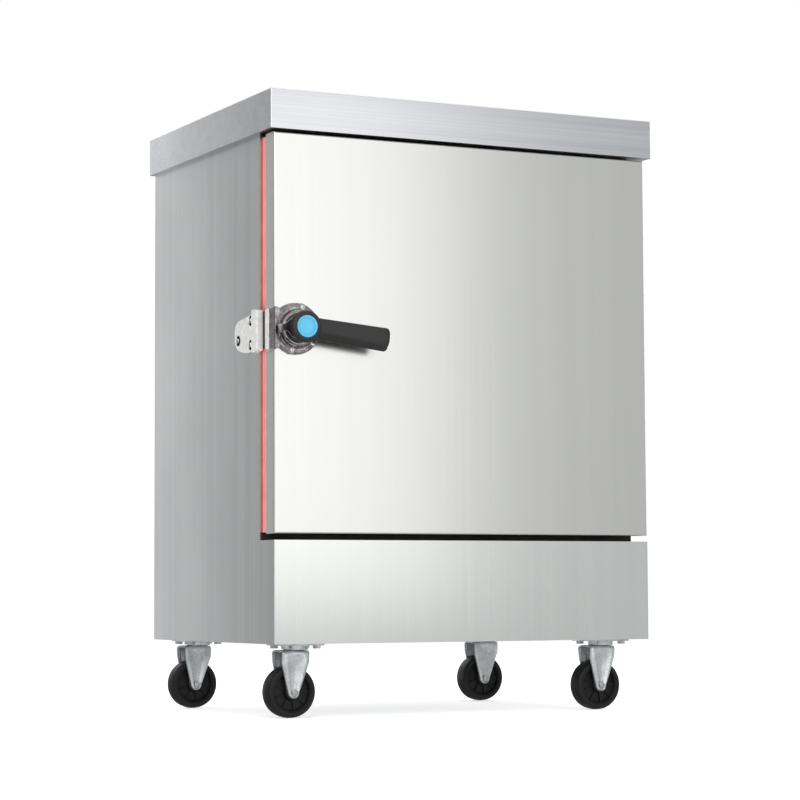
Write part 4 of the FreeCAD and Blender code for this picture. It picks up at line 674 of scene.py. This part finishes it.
# latch: cast rose with its guard, hooked cam, lever and coloured disc

latch = {
    "flangeMm": 8, "bodyHalfMm": 34, "guardHalfMm": 35, "screwRingMm": 35.5,
    "screwDegrees": (75, 255, 320), "screwSeatYMm": -273,
    "leverDroopDegrees": 6, "leverLengthMm": 149.5, "leverRootMm": 17,
    "leverBevelMm": 6.5, "leverCrownMm": 2.6,
    "padHalfMm": 32, "padFrontYMm": -207, "ribHalfMm": 36,
}
latchAxis = jointAt["lever_turn"]
leverDroop = math.radians(latch["leverDroopDegrees"])


def alongLever(u, v, y):
    # u from the latch axis to the tip, v upwards across the lever
    return Vector((
        latchAxis.x + u * math.cos(leverDroop) + v * math.sin(leverDroop), y,
        latchAxis.z - u * math.sin(leverDroop) + v * math.cos(leverDroop),
    ))


def roseScrew(degrees):
    # how far a rose screw stands from the latch axis, in X and Z
    reach, angle = latch["screwRingMm"] * mm, math.radians(degrees)
    return reach * math.cos(angle), reach * math.sin(angle)


def rosePiece():
    low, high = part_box("latch_rose")
    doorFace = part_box("door_skin")[0].y
    flangeFace = doorFace - latch["flangeMm"] * mm
    flatSide = latchAxis.x - latch["bodyHalfMm"] * mm
    mesh = bmesh.new()
    depth = doorFace - 0.02 * mm
    profile = inMm([
        (7.1, 0), (42, 0), (42, 4.5), (41.3, 6.6), (39.4, 7.9), (36.4, 8.3), (35.6, 7.6),
        (33.4, 7.6), (32.6, 8.2), (31.2, 9.6), (30.4, 14), (29, 16.8), (27, 17.9), (24.4, 17.9),
        (23.6, 16.6), (9.5, 16.6), (9.0, 17.9), (7.1, 17.9), (7.1, 0),
    ])
    lathe(mesh, profile, (latchAxis.x, depth, latchAxis.z), (0, -1, 0), 96)
    for vert in mesh.verts:
        vert.co.x = max(vert.co.x, flatSide)
    finishPiece(
        "latch_rose_casting", mesh, zincPaintedDark, "door", ["latch_rose"], smoothAngle=32
    )

    # raised pads under the screws
    for degrees in latch["screwDegrees"]:
        across, up = roseScrew(degrees)
        pad = bmesh.new()
        lathe(
            pad, inMm([(2.6, 5), (7.2, 5), (6.4, 8), (2.6, 8), (2.6, 5)]),
            (latchAxis.x + across, depth, latchAxis.z + up), (0, -1, 0), 32,
        )
        finishPiece(f"latch_screw_pad_{degrees}", pad, zincPaintedDark, "door")

    # clasp ribs around the hub, cast with the rose
    for index, (start, end, inner, outer, rise) in enumerate((
        (118, 205, 30.6, 36.4, 13.5), (214, 262, 26.0, 31.5, 21.0), (128, 176, 24.5, 28.6, 22.5),
    )):
        steps = 16
        angles = [math.radians(start + (end - start) * k / steps) for k in range(steps + 1)]
        outline = [(inner * mm * math.cos(a), inner * mm * math.sin(a)) for a in angles]
        outline += [(outer * mm * math.cos(a), outer * mm * math.sin(a)) for a in reversed(angles)]
        rib = bmesh.new()
        slab(
            rib, outline,
            lambda u, v, y: Vector((max(latchAxis.x + u, flatSide), y, latchAxis.z + v)),
            depth - 6 * mm, max(doorFace - rise * mm, low.y + 0.2 * mm),
        )
        finishPiece(f"latch_clasp_rib_{index}", rib, zincPaintedDark, "door", bevelMm=1.2)

    # guard bent round the edge of the door, with a rim along its back edge
    guardLow, guardHigh = (latchAxis.z + s * latch["guardHalfMm"] * mm for s in (-1, 1))
    front = bmesh.new()
    slab(
        front, softened([
            (low.x, guardLow), (flatSide + 3.5 * mm, guardLow + 3 * mm),
            (flatSide + 3.5 * mm, guardHigh - 3 * mm), (low.x, guardHigh),
        ], 4 * mm),
        lambda u, v, y: Vector((u, y, v)), flangeFace, flangeFace - 3 * mm,
    )
    finishPiece("latch_guard_front", front, zincPaintedDark, "door", bevelMm=1.1)
    side = bmesh.new()
    slab(
        side, softened([
            (flangeFace - 2.9 * mm, guardLow), (high.y, guardLow + 3 * mm),
            (high.y, guardHigh - 3 * mm), (flangeFace - 2.9 * mm, guardHigh),
        ], 5 * mm),
        facingX, low.x, low.x + 2.9 * mm,
    )
    finishPiece("latch_guard_side", side, zincPaintedDark, "door", bevelMm=1.1)
    rim = bmesh.new()
    slab(
        rim, softened([
            (high.y - 14 * mm, guardLow + 2 * mm), (high.y, guardLow + 3 * mm),
            (high.y, guardHigh - 3 * mm), (high.y - 14 * mm, guardHigh - 2 * mm),
        ], 3 * mm),
        facingX, low.x - 1.4 * mm, low.x + 1.5 * mm,
    )
    finishPiece("latch_guard_rim", rim, tumbledZinc, "door", bevelMm=1.2)


def camPiece():
    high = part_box("latch_cam")[1]
    mesh = bmesh.new()
    back = latchAxis.y + 6.6 * mm
    frontFace = back - 5.8 * mm
    steps = 20
    angles = [math.radians(-110 + 220 * k / steps) for k in range(steps + 1)]
    outline = inMm([(20 * math.cos(a), 20 * math.sin(a)) for a in angles] + [
        (-16, 15), (-28, 3), (-38.5, 0.5), (-39.5, -2), (-37, -13),
        (-33, -13.5), (-30, -8), (-22, -9.5), (-14, -17),
    ])
    slab(mesh, outline, alongLever, back, frontFace)
    finishPiece(
        "latch_cam_plate", mesh, zincPaintedDark, "lever", ["latch_cam"],
        bevelMm=0.9, smoothAngle=30,
    )
    shaft = bmesh.new()
    lathe(
        shaft, inMm([(0, 0), (6.9, 0), (6.9, 26), (0, 26)]),
        (latchAxis.x, high.y, latchAxis.z), (0, -1, 0), 40,
    )
    finishPiece("latch_spindle", shaft, zincPaintedDark, "lever")


def leverPiece():
    low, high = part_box("latch_lever")
    hubFace = low.y
    mesh = bmesh.new()
    lathe(mesh, inMm([
        (6.95, 0), (19.5, 0), (20.5, 1.0), (22, 9), (25.4, 15), (26, 16.5), (26, 20.5), (25.3, 22.6),
        (23.4, 24.3), (21, 25), (18.9, 25), (18.1, 24.2), (18.1, 21), (6.95, 21), (6.95, 0),
    ]), (latchAxis.x, high.y, latchAxis.z), (0, -1, 0), 96)
    finishPiece(
        "latch_lever_hub", mesh, leverNylon, "lever", ["latch_lever"],
        smoothAngle=40,
    )

    # arm: sections across it from the hub to the tip
    arm = bmesh.new()
    length = latch["leverLengthMm"] * mm
    root = latch["leverRootMm"] * mm
    armFace = hubFace + 3 * mm
    armBack = armFace + 14 * mm
    rings = []
    sections = 60
    for k in range(sections + 1):
        t = k / sections
        u = root + (length - root) * t
        tipIn = max(0, (u - (length - 6 * mm)) / (6 * mm))
        up = (17 + 1.6 * t - 5.0 * tipIn ** 3) * mm
        down = (17 + 2.6 * t - 4.5 * tipIn ** 2.5) * mm
        thin = 1.4 * mm * t + 2.2 * mm * tipIn ** 2
        crown = latch["leverCrownMm"] * mm * (1 - 0.35 * t)
        bevel = latch["leverBevelMm"] * mm
        front = armFace + 0.4 * mm + thin * 0.5
        back = armBack - thin
        points = [
            (up - 0.8 * mm, back), (up, back - 1.2 * mm), (up, front + crown + 2.4 * mm),
            (up - 1.6 * mm, front + crown * 0.75), (up * 0.55, front + crown * 0.22), (up * 0.15, front),
            (-down * 0.3, front + crown * 0.12), (-down + bevel * 1.5, front + crown * 0.5),
            (-down + bevel * 1.15, front + crown * 0.85), (-down + 0.6 * mm, front + bevel + 2.2 * mm),
            (-down, front + bevel + 3.4 * mm), (-down, back - 1.2 * mm), (-down + 0.8 * mm, back),
            (-down * 0.4, back), (up * 0.4, back),
        ]
        rings.append([arm.verts.new(alongLever(u, v, y)) for v, y in points])
    joinRings(arm, rings)
    arm.faces.new(list(reversed(rings[0])))
    arm.faces.new(rings[-1])
    finishPiece(
        "latch_lever_arm", arm, leverNylon, "lever", bevelMm=0.7, smoothAngle=38
    )


def discPiece():
    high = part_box("latch_disc")[1]
    mesh = bmesh.new()
    lathe(mesh, inMm([
        (0, 0), (17.9, 0), (17.9, 3.9), (17.2, 4.7), (15.2, 4.8), (14.8, 4.5), (14.3, 4.5),
        (13.9, 4.9), (9, 5.25), (4.5, 5.4), (0, 5.45),
    ]), (latchAxis.x, high.y, latchAxis.z), (0, -1, 0), 80)
    finishPiece(
        "latch_colour_disc", mesh, discPlastic, "lever", ["latch_disc"],
        smoothAngle=50,
    )


def strikePiece():
    low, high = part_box("latch_strike")
    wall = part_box("left_side_panel")[0].x
    padTop, padLow = (latchAxis.z + s * latch["padHalfMm"] * mm for s in (1, -1))
    padFront, padBack = latch["padFrontYMm"] * mm, high.y - 10 * mm
    pad = bmesh.new()
    outline = softened([
        (padFront, padLow + 1 * mm), (padFront + 52 * mm, padLow), (padBack - 14 * mm, padLow + 6 * mm),
        (padBack, padLow + 18 * mm), (padBack, padTop - 20 * mm), (padBack - 10 * mm, padTop - 9 * mm),
        (padFront + 40 * mm, padTop - 3 * mm), (padFront, padTop),
    ], 7 * mm)
    slab(pad, outline, facingX, wall - 3 * mm, wall)
    finishPiece(
        "strike_pad", pad, tumbledZinc, "cabinet", ["latch_strike"], bevelMm=1.2
    )
    for index, (y, z) in enumerate(strikeScrews()):
        boss = bmesh.new()
        lathe(
            boss, inMm([(2.6, 2), (9.4, 2), (8.6, 3), (2.6, 3), (2.6, 2)]), (wall, y, z), (-1, 0, 0), 36
        )
        finishPiece(f"strike_screw_boss_{index}", boss, tumbledZinc, "cabinet")
    rib = bmesh.new()
    ribFront = low.y
    ribBack = padFront + 6 * mm
    ribTop, ribLow = (latchAxis.z + s * latch["ribHalfMm"] * mm for s in (1, -1))
    slab(
        rib, softened([
            (ribFront, ribLow + 3 * mm), (ribBack, ribLow), (ribBack, ribTop), (ribFront, ribTop - 3 * mm),
        ], 5 * mm),
        facingX, low.x, wall - 1.0 * mm,
    )
    finishPiece("strike_rib", rib, tumbledZinc, "cabinet", bevelMm=2.0)
    # black strip on the side wall between the latch guard and the strike's rib: painted shade that keeps the gap
    # there dark
    strip = bmesh.new()
    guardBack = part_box("latch_rose")[1].y
    slab(
        strip, softened(rectangle(
            guardBack + 1.2 * mm, ribLow + 6 * mm, ribBack - 3 * mm, ribTop - 6 * mm
        ), 2 * mm),
        facingX, wall - 2.6 * mm, wall - 0.4 * mm,
    )
    finishPiece("strike_painted_shade_strip", strip, leverNylon, "cabinet", bevelMm=0.4)
    for index, z in enumerate((latchAxis.z + 21 * mm, latchAxis.z - 21 * mm)):
        web = bmesh.new()
        slab(
            web, [(0, 0), (26 * mm, 0), (0, 8.5 * mm)],
            lambda u, v, w: Vector((wall - 3 * mm - v, ribBack + u, w)), z - 2 * mm, z + 2 * mm,
        )
        finishPiece(f"strike_web_{index}", web, tumbledZinc, "cabinet", bevelMm=0.6)


def strikeScrews():
    front = latch["padFrontYMm"] * mm
    return [
        (front + 30 * mm, latchAxis.z - 20 * mm), (front + 30 * mm, latchAxis.z + 20 * mm),
        (front + 82 * mm, latchAxis.z - 9 * mm),
    ]


rosePiece()
camPiece()
leverPiece()
discPiece()
strikePiece()
print("latch made")

# screws: pan heads with a cross recess

screwHead = {
    "radiusMm": 4.6, "heightMm": 2.75, "crownMm": 3.2,
    "slotHalfMm": 0.62, "slotReachMm": 2.5, "slotDepthMm": 1.5,
}
hinge = {"leafHeightMm": 90, "leafMm": 3.5, "fixedScrewYMm": -184, "doorScrewYMm": -248}


def panHead(mesh, seat, outward, spin):
    turn = Matrix.Translation(seat) @ axisTurn(outward) @ Matrix.Rotation(spin, 4, "Z")
    radius, height = screwHead["radiusMm"] * mm, screwHead["heightMm"] * mm
    crown = screwHead["crownMm"] * mm
    steps = 32
    rings = []
    angles = [2 * math.pi * i / steps for i in range(steps)]
    for r, h in (
        (radius, 0), (radius, 0.9 * mm), (radius * 0.93, 1.9 * mm),
        (radius * 0.82, height - 0.15 * mm), (crown, height),
    ):
        rings.append([mesh.verts.new((r * math.cos(a), r * math.sin(a), h)) for a in angles])
    joinRings(mesh, rings)
    mesh.faces.new(list(reversed(rings[0])))
    s, r = screwHead["slotHalfMm"] * mm, screwHead["slotReachMm"] * mm
    cross = [
        (s, s), (s, r), (-s, r), (-s, s), (-r, s), (-r, -s),
        (-s, -s), (-s, -r), (s, -r), (s, -s), (r, -s), (r, s),
    ]
    deep = height - screwHead["slotDepthMm"] * mm
    rim = [mesh.verts.new((x, y, height)) for x, y in cross]
    floor = [mesh.verts.new((x * 0.72, y * 0.72, deep)) for x, y in cross]
    edges = [mesh.edges.new((rim[i], rim[(i + 1) % 12])) for i in range(12)]
    edges += [mesh.edges.get((rings[-1][i], rings[-1][(i + 1) % steps])) for i in range(steps)]
    bmesh.ops.triangle_fill(mesh, edges=edges, use_beauty=True, use_dissolve=False)
    for i in range(12):
        j = (i + 1) % 12
        mesh.faces.new((rim[i], rim[j], floor[j], floor[i]))
    mesh.faces.new(floor)
    new = [v for ring in rings for v in ring] + rim + floor
    bmesh.ops.transform(mesh, matrix=turn, verts=new)


def screwGroups():
    # seats and outward directions, from the boxes of the pieces that they hold
    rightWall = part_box("right_side_panel")[1].x
    leafFace = rightWall + hinge["leafMm"] * mm
    leafHeight = hinge["leafHeightMm"] * mm
    leafLow = [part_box("hinge_fixed_leaves")[0].z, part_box("hinge_fixed_leaves")[1].z - leafHeight]
    fixed, moving = [], []
    for low in leafLow:
        for share in (0.2, 0.5, 0.8):
            z = low + leafHeight * share
            fixed.append((Vector((leafFace, hinge["fixedScrewYMm"] * mm, z)), (1, 0, 0)))
            moving.append((Vector((leafFace, hinge["doorScrewYMm"] * mm, z)), (1, 0, 0)))
    for y, z in strikeScrews():
        fixed.append((Vector((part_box("left_side_panel")[0].x - 3 * mm, y, z)), (-1, 0, 0)))
    for degrees in latch["screwDegrees"]:
        across, up = roseScrew(degrees)
        seat = Vector((latchAxis.x + across, latch["screwSeatYMm"] * mm, latchAxis.z + up))
        moving.append((seat, (0, -1, 0)))
    return ("cabinet_screws", "cabinet", fixed), ("door_screws", "door", moving)


for node, body, seats in screwGroups():
    mesh = bmesh.new()
    for index, (seat, outward) in enumerate(seats):
        panHead(mesh, seat, outward, 0.7 * index)
    finishPiece(f"{node}_heads", mesh, nickelScrew, body, [node], smoothAngle=25)
print("screws made")

# gasket: hollow bellows with a rounded lip, mitred at the corners

gasket = {"widthMm": 22, "grooves": 2, "grooveMm": 1.6, "groovedShare": 0.78, "lipRoundMm": 6}


def gasketPiece():
    low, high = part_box("door_gasket")
    depth = high.y - low.y
    inner = gasket["widthMm"] * mm
    lip = gasket["lipRoundMm"] * mm
    # profile: in from the outer edge, and out from the door
    profile = [(1.2 * mm, 0)]
    steps = 40
    for k in range(steps + 1):
        t = k / steps
        turns = (gasket["grooves"] + 0.5) * t / gasket["groovedShare"]
        groove = gasket["grooveMm"] * mm * (0.5 - 0.5 * math.cos(2 * math.pi * turns))
        profile.append((groove if t < gasket["groovedShare"] else 0, t * (depth - lip)))
    for k in range(1, 9):
        angle = math.pi / 2 * k / 8
        profile.append((lip * (1 - math.cos(angle)), depth - lip + lip * math.sin(angle)))
    for k in range(9):
        angle = math.pi / 2 * k / 8
        profile.append((inner - lip + lip * math.sin(angle), depth - lip + lip * math.cos(angle)))
    profile += [(inner - 2 * mm, depth * 0.45), (inner, depth * 0.2), (inner - 1 * mm, 0)]
    mesh = bmesh.new()
    rings = []
    for inset, out in profile:
        ring = rectangle(low.x + inset, low.z + inset, high.x - inset, high.z - inset)
        rings.append([mesh.verts.new((x, low.y + out, z)) for x, z in ring])
    joinRings(mesh, rings + rings[:1])
    finishPiece(
        "door_gasket_bellows", mesh, gasketRubber, "door", ["door_gasket"],
        smoothAngle=50,
    )


gasketPiece()
print("gasket made")

# painted shade strips: black sections on the face frame, above and below the gasket, that paint the shadow lines in
# the gaps over and under the door

paintedShade = {"depthMm": 5.5, "lipMm": 1.2}


def paintedShadePiece(name, low, high):
    section = softened(rectangle(low.y, low.z, high.y, high.z), paintedShade["lipMm"] * mm)
    mesh = bmesh.new()
    slab(mesh, section, facingX, low.x, high.x)
    finishPiece(name, mesh, wheelRubber, "cabinet", smoothAngle=40)


frameLow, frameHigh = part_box("face_frame")
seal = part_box("door_gasket")
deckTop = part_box("base_deck")[1].z
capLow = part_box("top_cap")[0].z
stripFront = frameLow.y - paintedShade["depthMm"] * mm
for name, low, high in (
    ("painted_shade_strip_low", deckTop + 0.2 * mm, seal[0].z - 0.2 * mm),
    ("painted_shade_strip_high", seal[1].z + 0.2 * mm, capLow - 0.1 * mm),
):
    paintedShadePiece(
        name, Vector((frameLow.x, stripFront, low)), Vector((frameHigh.x, frameLow.y, high))
    )
print("breaker strips made")

# controls on the right side: knob with flutes and a pointer, printed dial, rocker marks and pilot lens

controls = {
    "flutes": 12, "fluteMm": 1.1, "pointerMm": 1.6, "dialRadiusMm": 25, "tickMm": 3.2,
    "tickStartMm": 4.6, "inkMm": 0.15, "dialSteps": 9, "dialStartDegrees": 225,
    "dialSweepDegrees": 270, "numberMm": 5.2, "lensRadiusMm": 4.2, "lensDropMm": 16,
    "screwInsetMm": 6, "screwShare": 0.6,
}
plateLow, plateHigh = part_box("control_plate")
knobAt = jointAt["thermostat_turn"]
rockerAt = jointAt["rocker_tip"]


def knobPiece():
    low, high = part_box("thermostat_knob")
    skirt, radius = plateHigh.x + 0.4 * mm, (high.z - low.z) / 2
    steps = 144
    profile = [
        (radius, 0), (radius, 2.2 * mm), (radius - 2.4 * mm, 3.4 * mm), (radius - 3.4 * mm, 5 * mm),
        (radius - 4.2 * mm, 15.6 * mm), (radius - 5.2 * mm, 17.4 * mm),
        (radius - 6.6 * mm, high.x - skirt),
    ]
    mesh = bmesh.new()
    rings = []
    for r, out in profile:
        depth = controls["fluteMm"] * mm if 4 * mm < out < 17 * mm else 0
        ring = []
        for i in range(steps):
            angle = 2 * math.pi * i / steps
            reach = r - depth * (0.5 - 0.5 * math.cos(controls["flutes"] * angle)) ** 2
            y, z = knobAt.y + reach * math.cos(angle), knobAt.z + reach * math.sin(angle)
            ring.append(mesh.verts.new((skirt + out, y, z)))
        rings.append(ring)
    joinRings(mesh, rings)
    mesh.faces.new(list(reversed(rings[0])))
    mesh.faces.new(rings[-1])
    finishPiece(
        "thermostat_knob_cap", mesh, leverNylon, "knob", ["thermostat_knob"],
        smoothAngle=30,
    )
    shaft = bmesh.new()
    end = skirt - low.x + 1 * mm
    lathe(
        shaft, [(0, 0), (2.9 * mm, 0), (3 * mm, 0.3 * mm), (3 * mm, end), (0, end)],
        (low.x, knobAt.y, knobAt.z), (1, 0, 0), 32,
    )
    finishPiece("thermostat_knob_shaft", shaft, nickelScrew, "knob")
    pointer = bmesh.new()
    half = controls["pointerMm"] * mm / 2
    slab(
        pointer, softened(rectangle(-half, 3 * mm, half, radius - 7.4 * mm), 0.6 * mm),
        lambda u, v, x: Vector((x, knobAt.y + u, knobAt.z + v)),
        high.x - 0.3 * mm, high.x - 0.02 * mm,
    )
    finishPiece("thermostat_knob_pointer", pointer, inkWhite, "knob")


def dialPiece():
    # ticks and plain numbers printed around the knob, over three quarters of a turn
    face = plateHigh.x
    ring = controls["dialRadiusMm"] * mm
    first, sweep = controls["dialStartDegrees"], controls["dialSweepDegrees"]
    start = ring - controls["tickStartMm"] * mm
    mesh = bmesh.new()
    last = controls["dialSteps"] - 1
    for k in range(last * 2 + 1):
        angle = math.radians(first - sweep * k / (last * 2))
        reach = controls["tickMm"] * mm * (1 if k % 2 == 0 else 0.55)
        half = 0.3 * mm
        out = Vector((0, math.cos(angle), math.sin(angle)))
        across = Vector((0, -math.sin(angle), math.cos(angle)))
        centre = Vector((0, knobAt.y, knobAt.z))
        slab(
            mesh, rectangle(start, -half, start + reach, half),
            lambda u, v, x: Vector((x, 0, 0)) + centre + out * u + across * v,
            face - 0.02 * mm, face + controls["inkMm"] * mm,
        )
    finishPiece("thermostat_dial_ticks", mesh, inkWhite, "cabinet")
    for k in range(controls["dialSteps"]):
        angle = math.radians(first - sweep * k / last)
        words = bpy.data.curves.new(f"thermostat_dial_number_{k}", "FONT")
        words.body = str(k * 10 + 10)
        words.size = controls["numberMm"] * mm
        words.align_x = words.align_y = "CENTER"
        words.extrude = controls["inkMm"] * mm / 2
        number = bpy.data.objects.new(words.name, words)
        bpy.context.scene.collection.objects.link(number)
        # reads upright on the right side
        turn = Matrix(((0, 0, 1), (1, 0, 0), (0, 1, 0))).to_4x4()
        reach = ring + 2.6 * mm
        y, z = knobAt.y + reach * math.cos(angle), knobAt.z + reach * math.sin(angle)
        x = face + controls["inkMm"] * mm / 2
        number.matrix_world = Matrix.Translation((x, y, z)) @ turn
        words.materials.append(inkWhite)
        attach(number, "cabinet")


def switchPiece():
    # on and off marks on the rocker, and a pilot lens above it
    low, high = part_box("power_rocker")
    for name, height, hole in (("power_mark_on", 0.28, False), ("power_mark_off", 0.72, True)):
        mark = bmesh.new()
        at = Vector((high.x - 2.6 * mm, rockerAt.y, low.z + (high.z - low.z) * height))
        if hole:
            lathe(
                mark, inMm([(1.3, 0), (1.9, 0), (1.9, 2.2), (1.3, 2.2), (1.3, 0)]), at, (1, 0, 0), 32
            )
        else:
            slab(
                mark, softened(inMm(rectangle(-0.35, -2, 0.35, 2)), 0.2 * mm),
                lambda u, v, x: Vector((x, at.y + u, at.z + v)), at.x, at.x + 2.2 * mm,
            )
        finishPiece(name, mark, inkWhite, "rocker")
    lens = bmesh.new()
    radius = controls["lensRadiusMm"] * mm
    height = plateHigh.z - controls["lensDropMm"] * mm
    lathe(lens, [
        (0, 0), (radius, 0), (radius, 1.2 * mm), (radius * 0.92, 2.4 * mm),
        (radius * 0.7, 3.4 * mm), (radius * 0.4, 4 * mm), (0, 4.2 * mm),
    ], (plateHigh.x - 0.5 * mm, rockerAt.y, height), (1, 0, 0), 40)
    finishPiece("pilot_lens", lens, lampRed, "cabinet", smoothAngle=60)
    bezel = bmesh.new()
    lathe(bezel, [
        (radius, 0), (radius + 1.6 * mm, 0), (radius + 1.6 * mm, 1.3 * mm),
        (radius + 1.1 * mm, 1.8 * mm), (radius, 1.8 * mm), (radius, 0),
    ], (plateHigh.x - 0.1 * mm, rockerAt.y, height), (1, 0, 0), 40)
    finishPiece("pilot_bezel", bezel, nickelScrew, "cabinet")
    inset = controls["screwInsetMm"] * mm
    columns = (plateLow.y + inset, plateHigh.y - inset)
    rows = (plateLow.z + inset, plateHigh.z - inset)
    for corner, (y, z) in enumerate((y, z) for y in columns for z in rows):
        screw = bmesh.new()
        panHead(screw, Vector((plateHigh.x, y, z)), (1, 0, 0), 0.9 * corner)
        bmesh.ops.scale(
            screw, vec=[controls["screwShare"]] * 3, verts=screw.verts,
            space=Matrix.Translation((-plateHigh.x, -y, -z)),
        )
        finishPiece(
            f"control_plate_screw_{corner}", screw, nickelScrew, "cabinet",
            smoothAngle=25,
        )


knobPiece()
dialPiece()
switchPiece()
print("controls made")

# back: louvre hoods over the air slots, cable gland's nut and dome

backPanel = {
    "hoodMm": 4.5, "hoodHeightMm": 8, "hoodSheetMm": 0.8,
    "slots": 7, "slotPitchMm": 12, "firstSlotMm": 165, "slotHalfMm": 60,
    "nutMm": 6, "domeStartMm": 9, "domeShare": 0.86,
}


def louvrePiece():
    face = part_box("back_panel")[1].y
    out = backPanel["hoodMm"] * mm
    rise = backPanel["hoodHeightMm"] * mm
    mesh = bmesh.new()
    for k in range(backPanel["slots"]):
        foot = (backPanel["firstSlotMm"] + backPanel["slotPitchMm"] * k) * mm
        half = backPanel["slotHalfMm"] * mm
        columns, rows = 24, 8
        grid = []
        for r in range(rows + 1):
            t = r / rows
            line = []
            for c in range(columns + 1):
                u = 2 * c / columns - 1
                end = max(0, 1 - ((abs(u) - 0.9) / 0.1 if abs(u) > 0.9 else 0) ** 2) ** 0.5
                bulge = out * math.sin(math.pi / 2 * (1 - t)) * end * 0.82
                z = foot - 5 * mm + rise * t + 0.6 * mm
                line.append(mesh.verts.new((u * half, face + 0.15 * mm + bulge, z)))
            grid.append(line)
        fillGrid(mesh, grid)
    hoods = finishPiece(
        "back_louvre_hoods", mesh, sheetUpright, "cabinet", smoothAngle=60
    )
    thicken(hoods, backPanel["hoodSheetMm"] * mm)


def glandPiece():
    low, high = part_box("cable_gland")
    centre = (low + high) / 2
    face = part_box("back_panel")[1].y
    mesh = bmesh.new()
    across = (high.z - low.z) / 2
    corner = across / math.cos(math.pi / 6)
    angles = [math.pi / 3 * i for i in range(6)]
    nut = [(corner * math.cos(a), corner * math.sin(a)) for a in angles]
    slab(
        mesh, softened(nut, 1 * mm),
        lambda u, v, y: Vector((centre.x + u * 0.98, y, centre.z + v * 0.98)),
        face + 0.05 * mm, face + backPanel["nutMm"] * mm,
    )
    finishPiece(
        "cable_gland_nut", mesh, leverNylon, "cabinet", ["cable_gland"],
        bevelMm=0.5,
    )
    dome = bmesh.new()
    reach = high.y - low.y
    radius = across * backPanel["domeShare"]
    sunk = face - low.y
    start = sunk + backPanel["domeStartMm"] * mm
    profile = [
        (radius * 0.62, 0), (radius * 0.62, sunk), (radius * 0.92, sunk + 5.9 * mm),
        (radius, sunk + 6.4 * mm), (radius, start),
    ]
    for k in range(1, 9):
        angle = math.pi / 2 * k / 8
        share = 0.46 + 0.54 * math.cos(angle)
        profile.append((radius * share, start + (reach - start) * math.sin(angle)))
    profile += [(radius * 0.4, reach - 1 * mm), (radius * 0.36, 0.5 * mm), (radius * 0.62, 0)]
    lathe(dome, profile, (centre.x, low.y, centre.z), (0, 1, 0), 48)
    finishPiece("cable_gland_dome", dome, leverNylon, "cabinet", smoothAngle=40)


louvrePiece()
glandPiece()
print("back details made")

# inside: water in the tank

tank = {"fillShare": 0.55, "rippleMm": 0.6}


def waterPiece():
    low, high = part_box("water_tank")
    level = low.z + (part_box("liner_floor")[0].z - low.z) * tank["fillShare"]
    columns, rows = 60, 40
    mesh = bmesh.new()
    grid = []
    for r in range(rows + 1):
        line = []
        for c in range(columns + 1):
            x = low.x + 3 * mm + (high.x - low.x - 6 * mm) * c / columns
            y = low.y + 3 * mm + (high.y - low.y - 6 * mm) * r / rows
            ripple = tank["rippleMm"] * mm * math.sin(c * 0.9) * math.cos(r * 0.7)
            line.append(mesh.verts.new((x, y, level + ripple)))
        grid.append(line)
    fillGrid(mesh, grid)
    finishPiece("tank_water_surface", mesh, stillWater, "cabinet")


waterPiece()
print("water made")
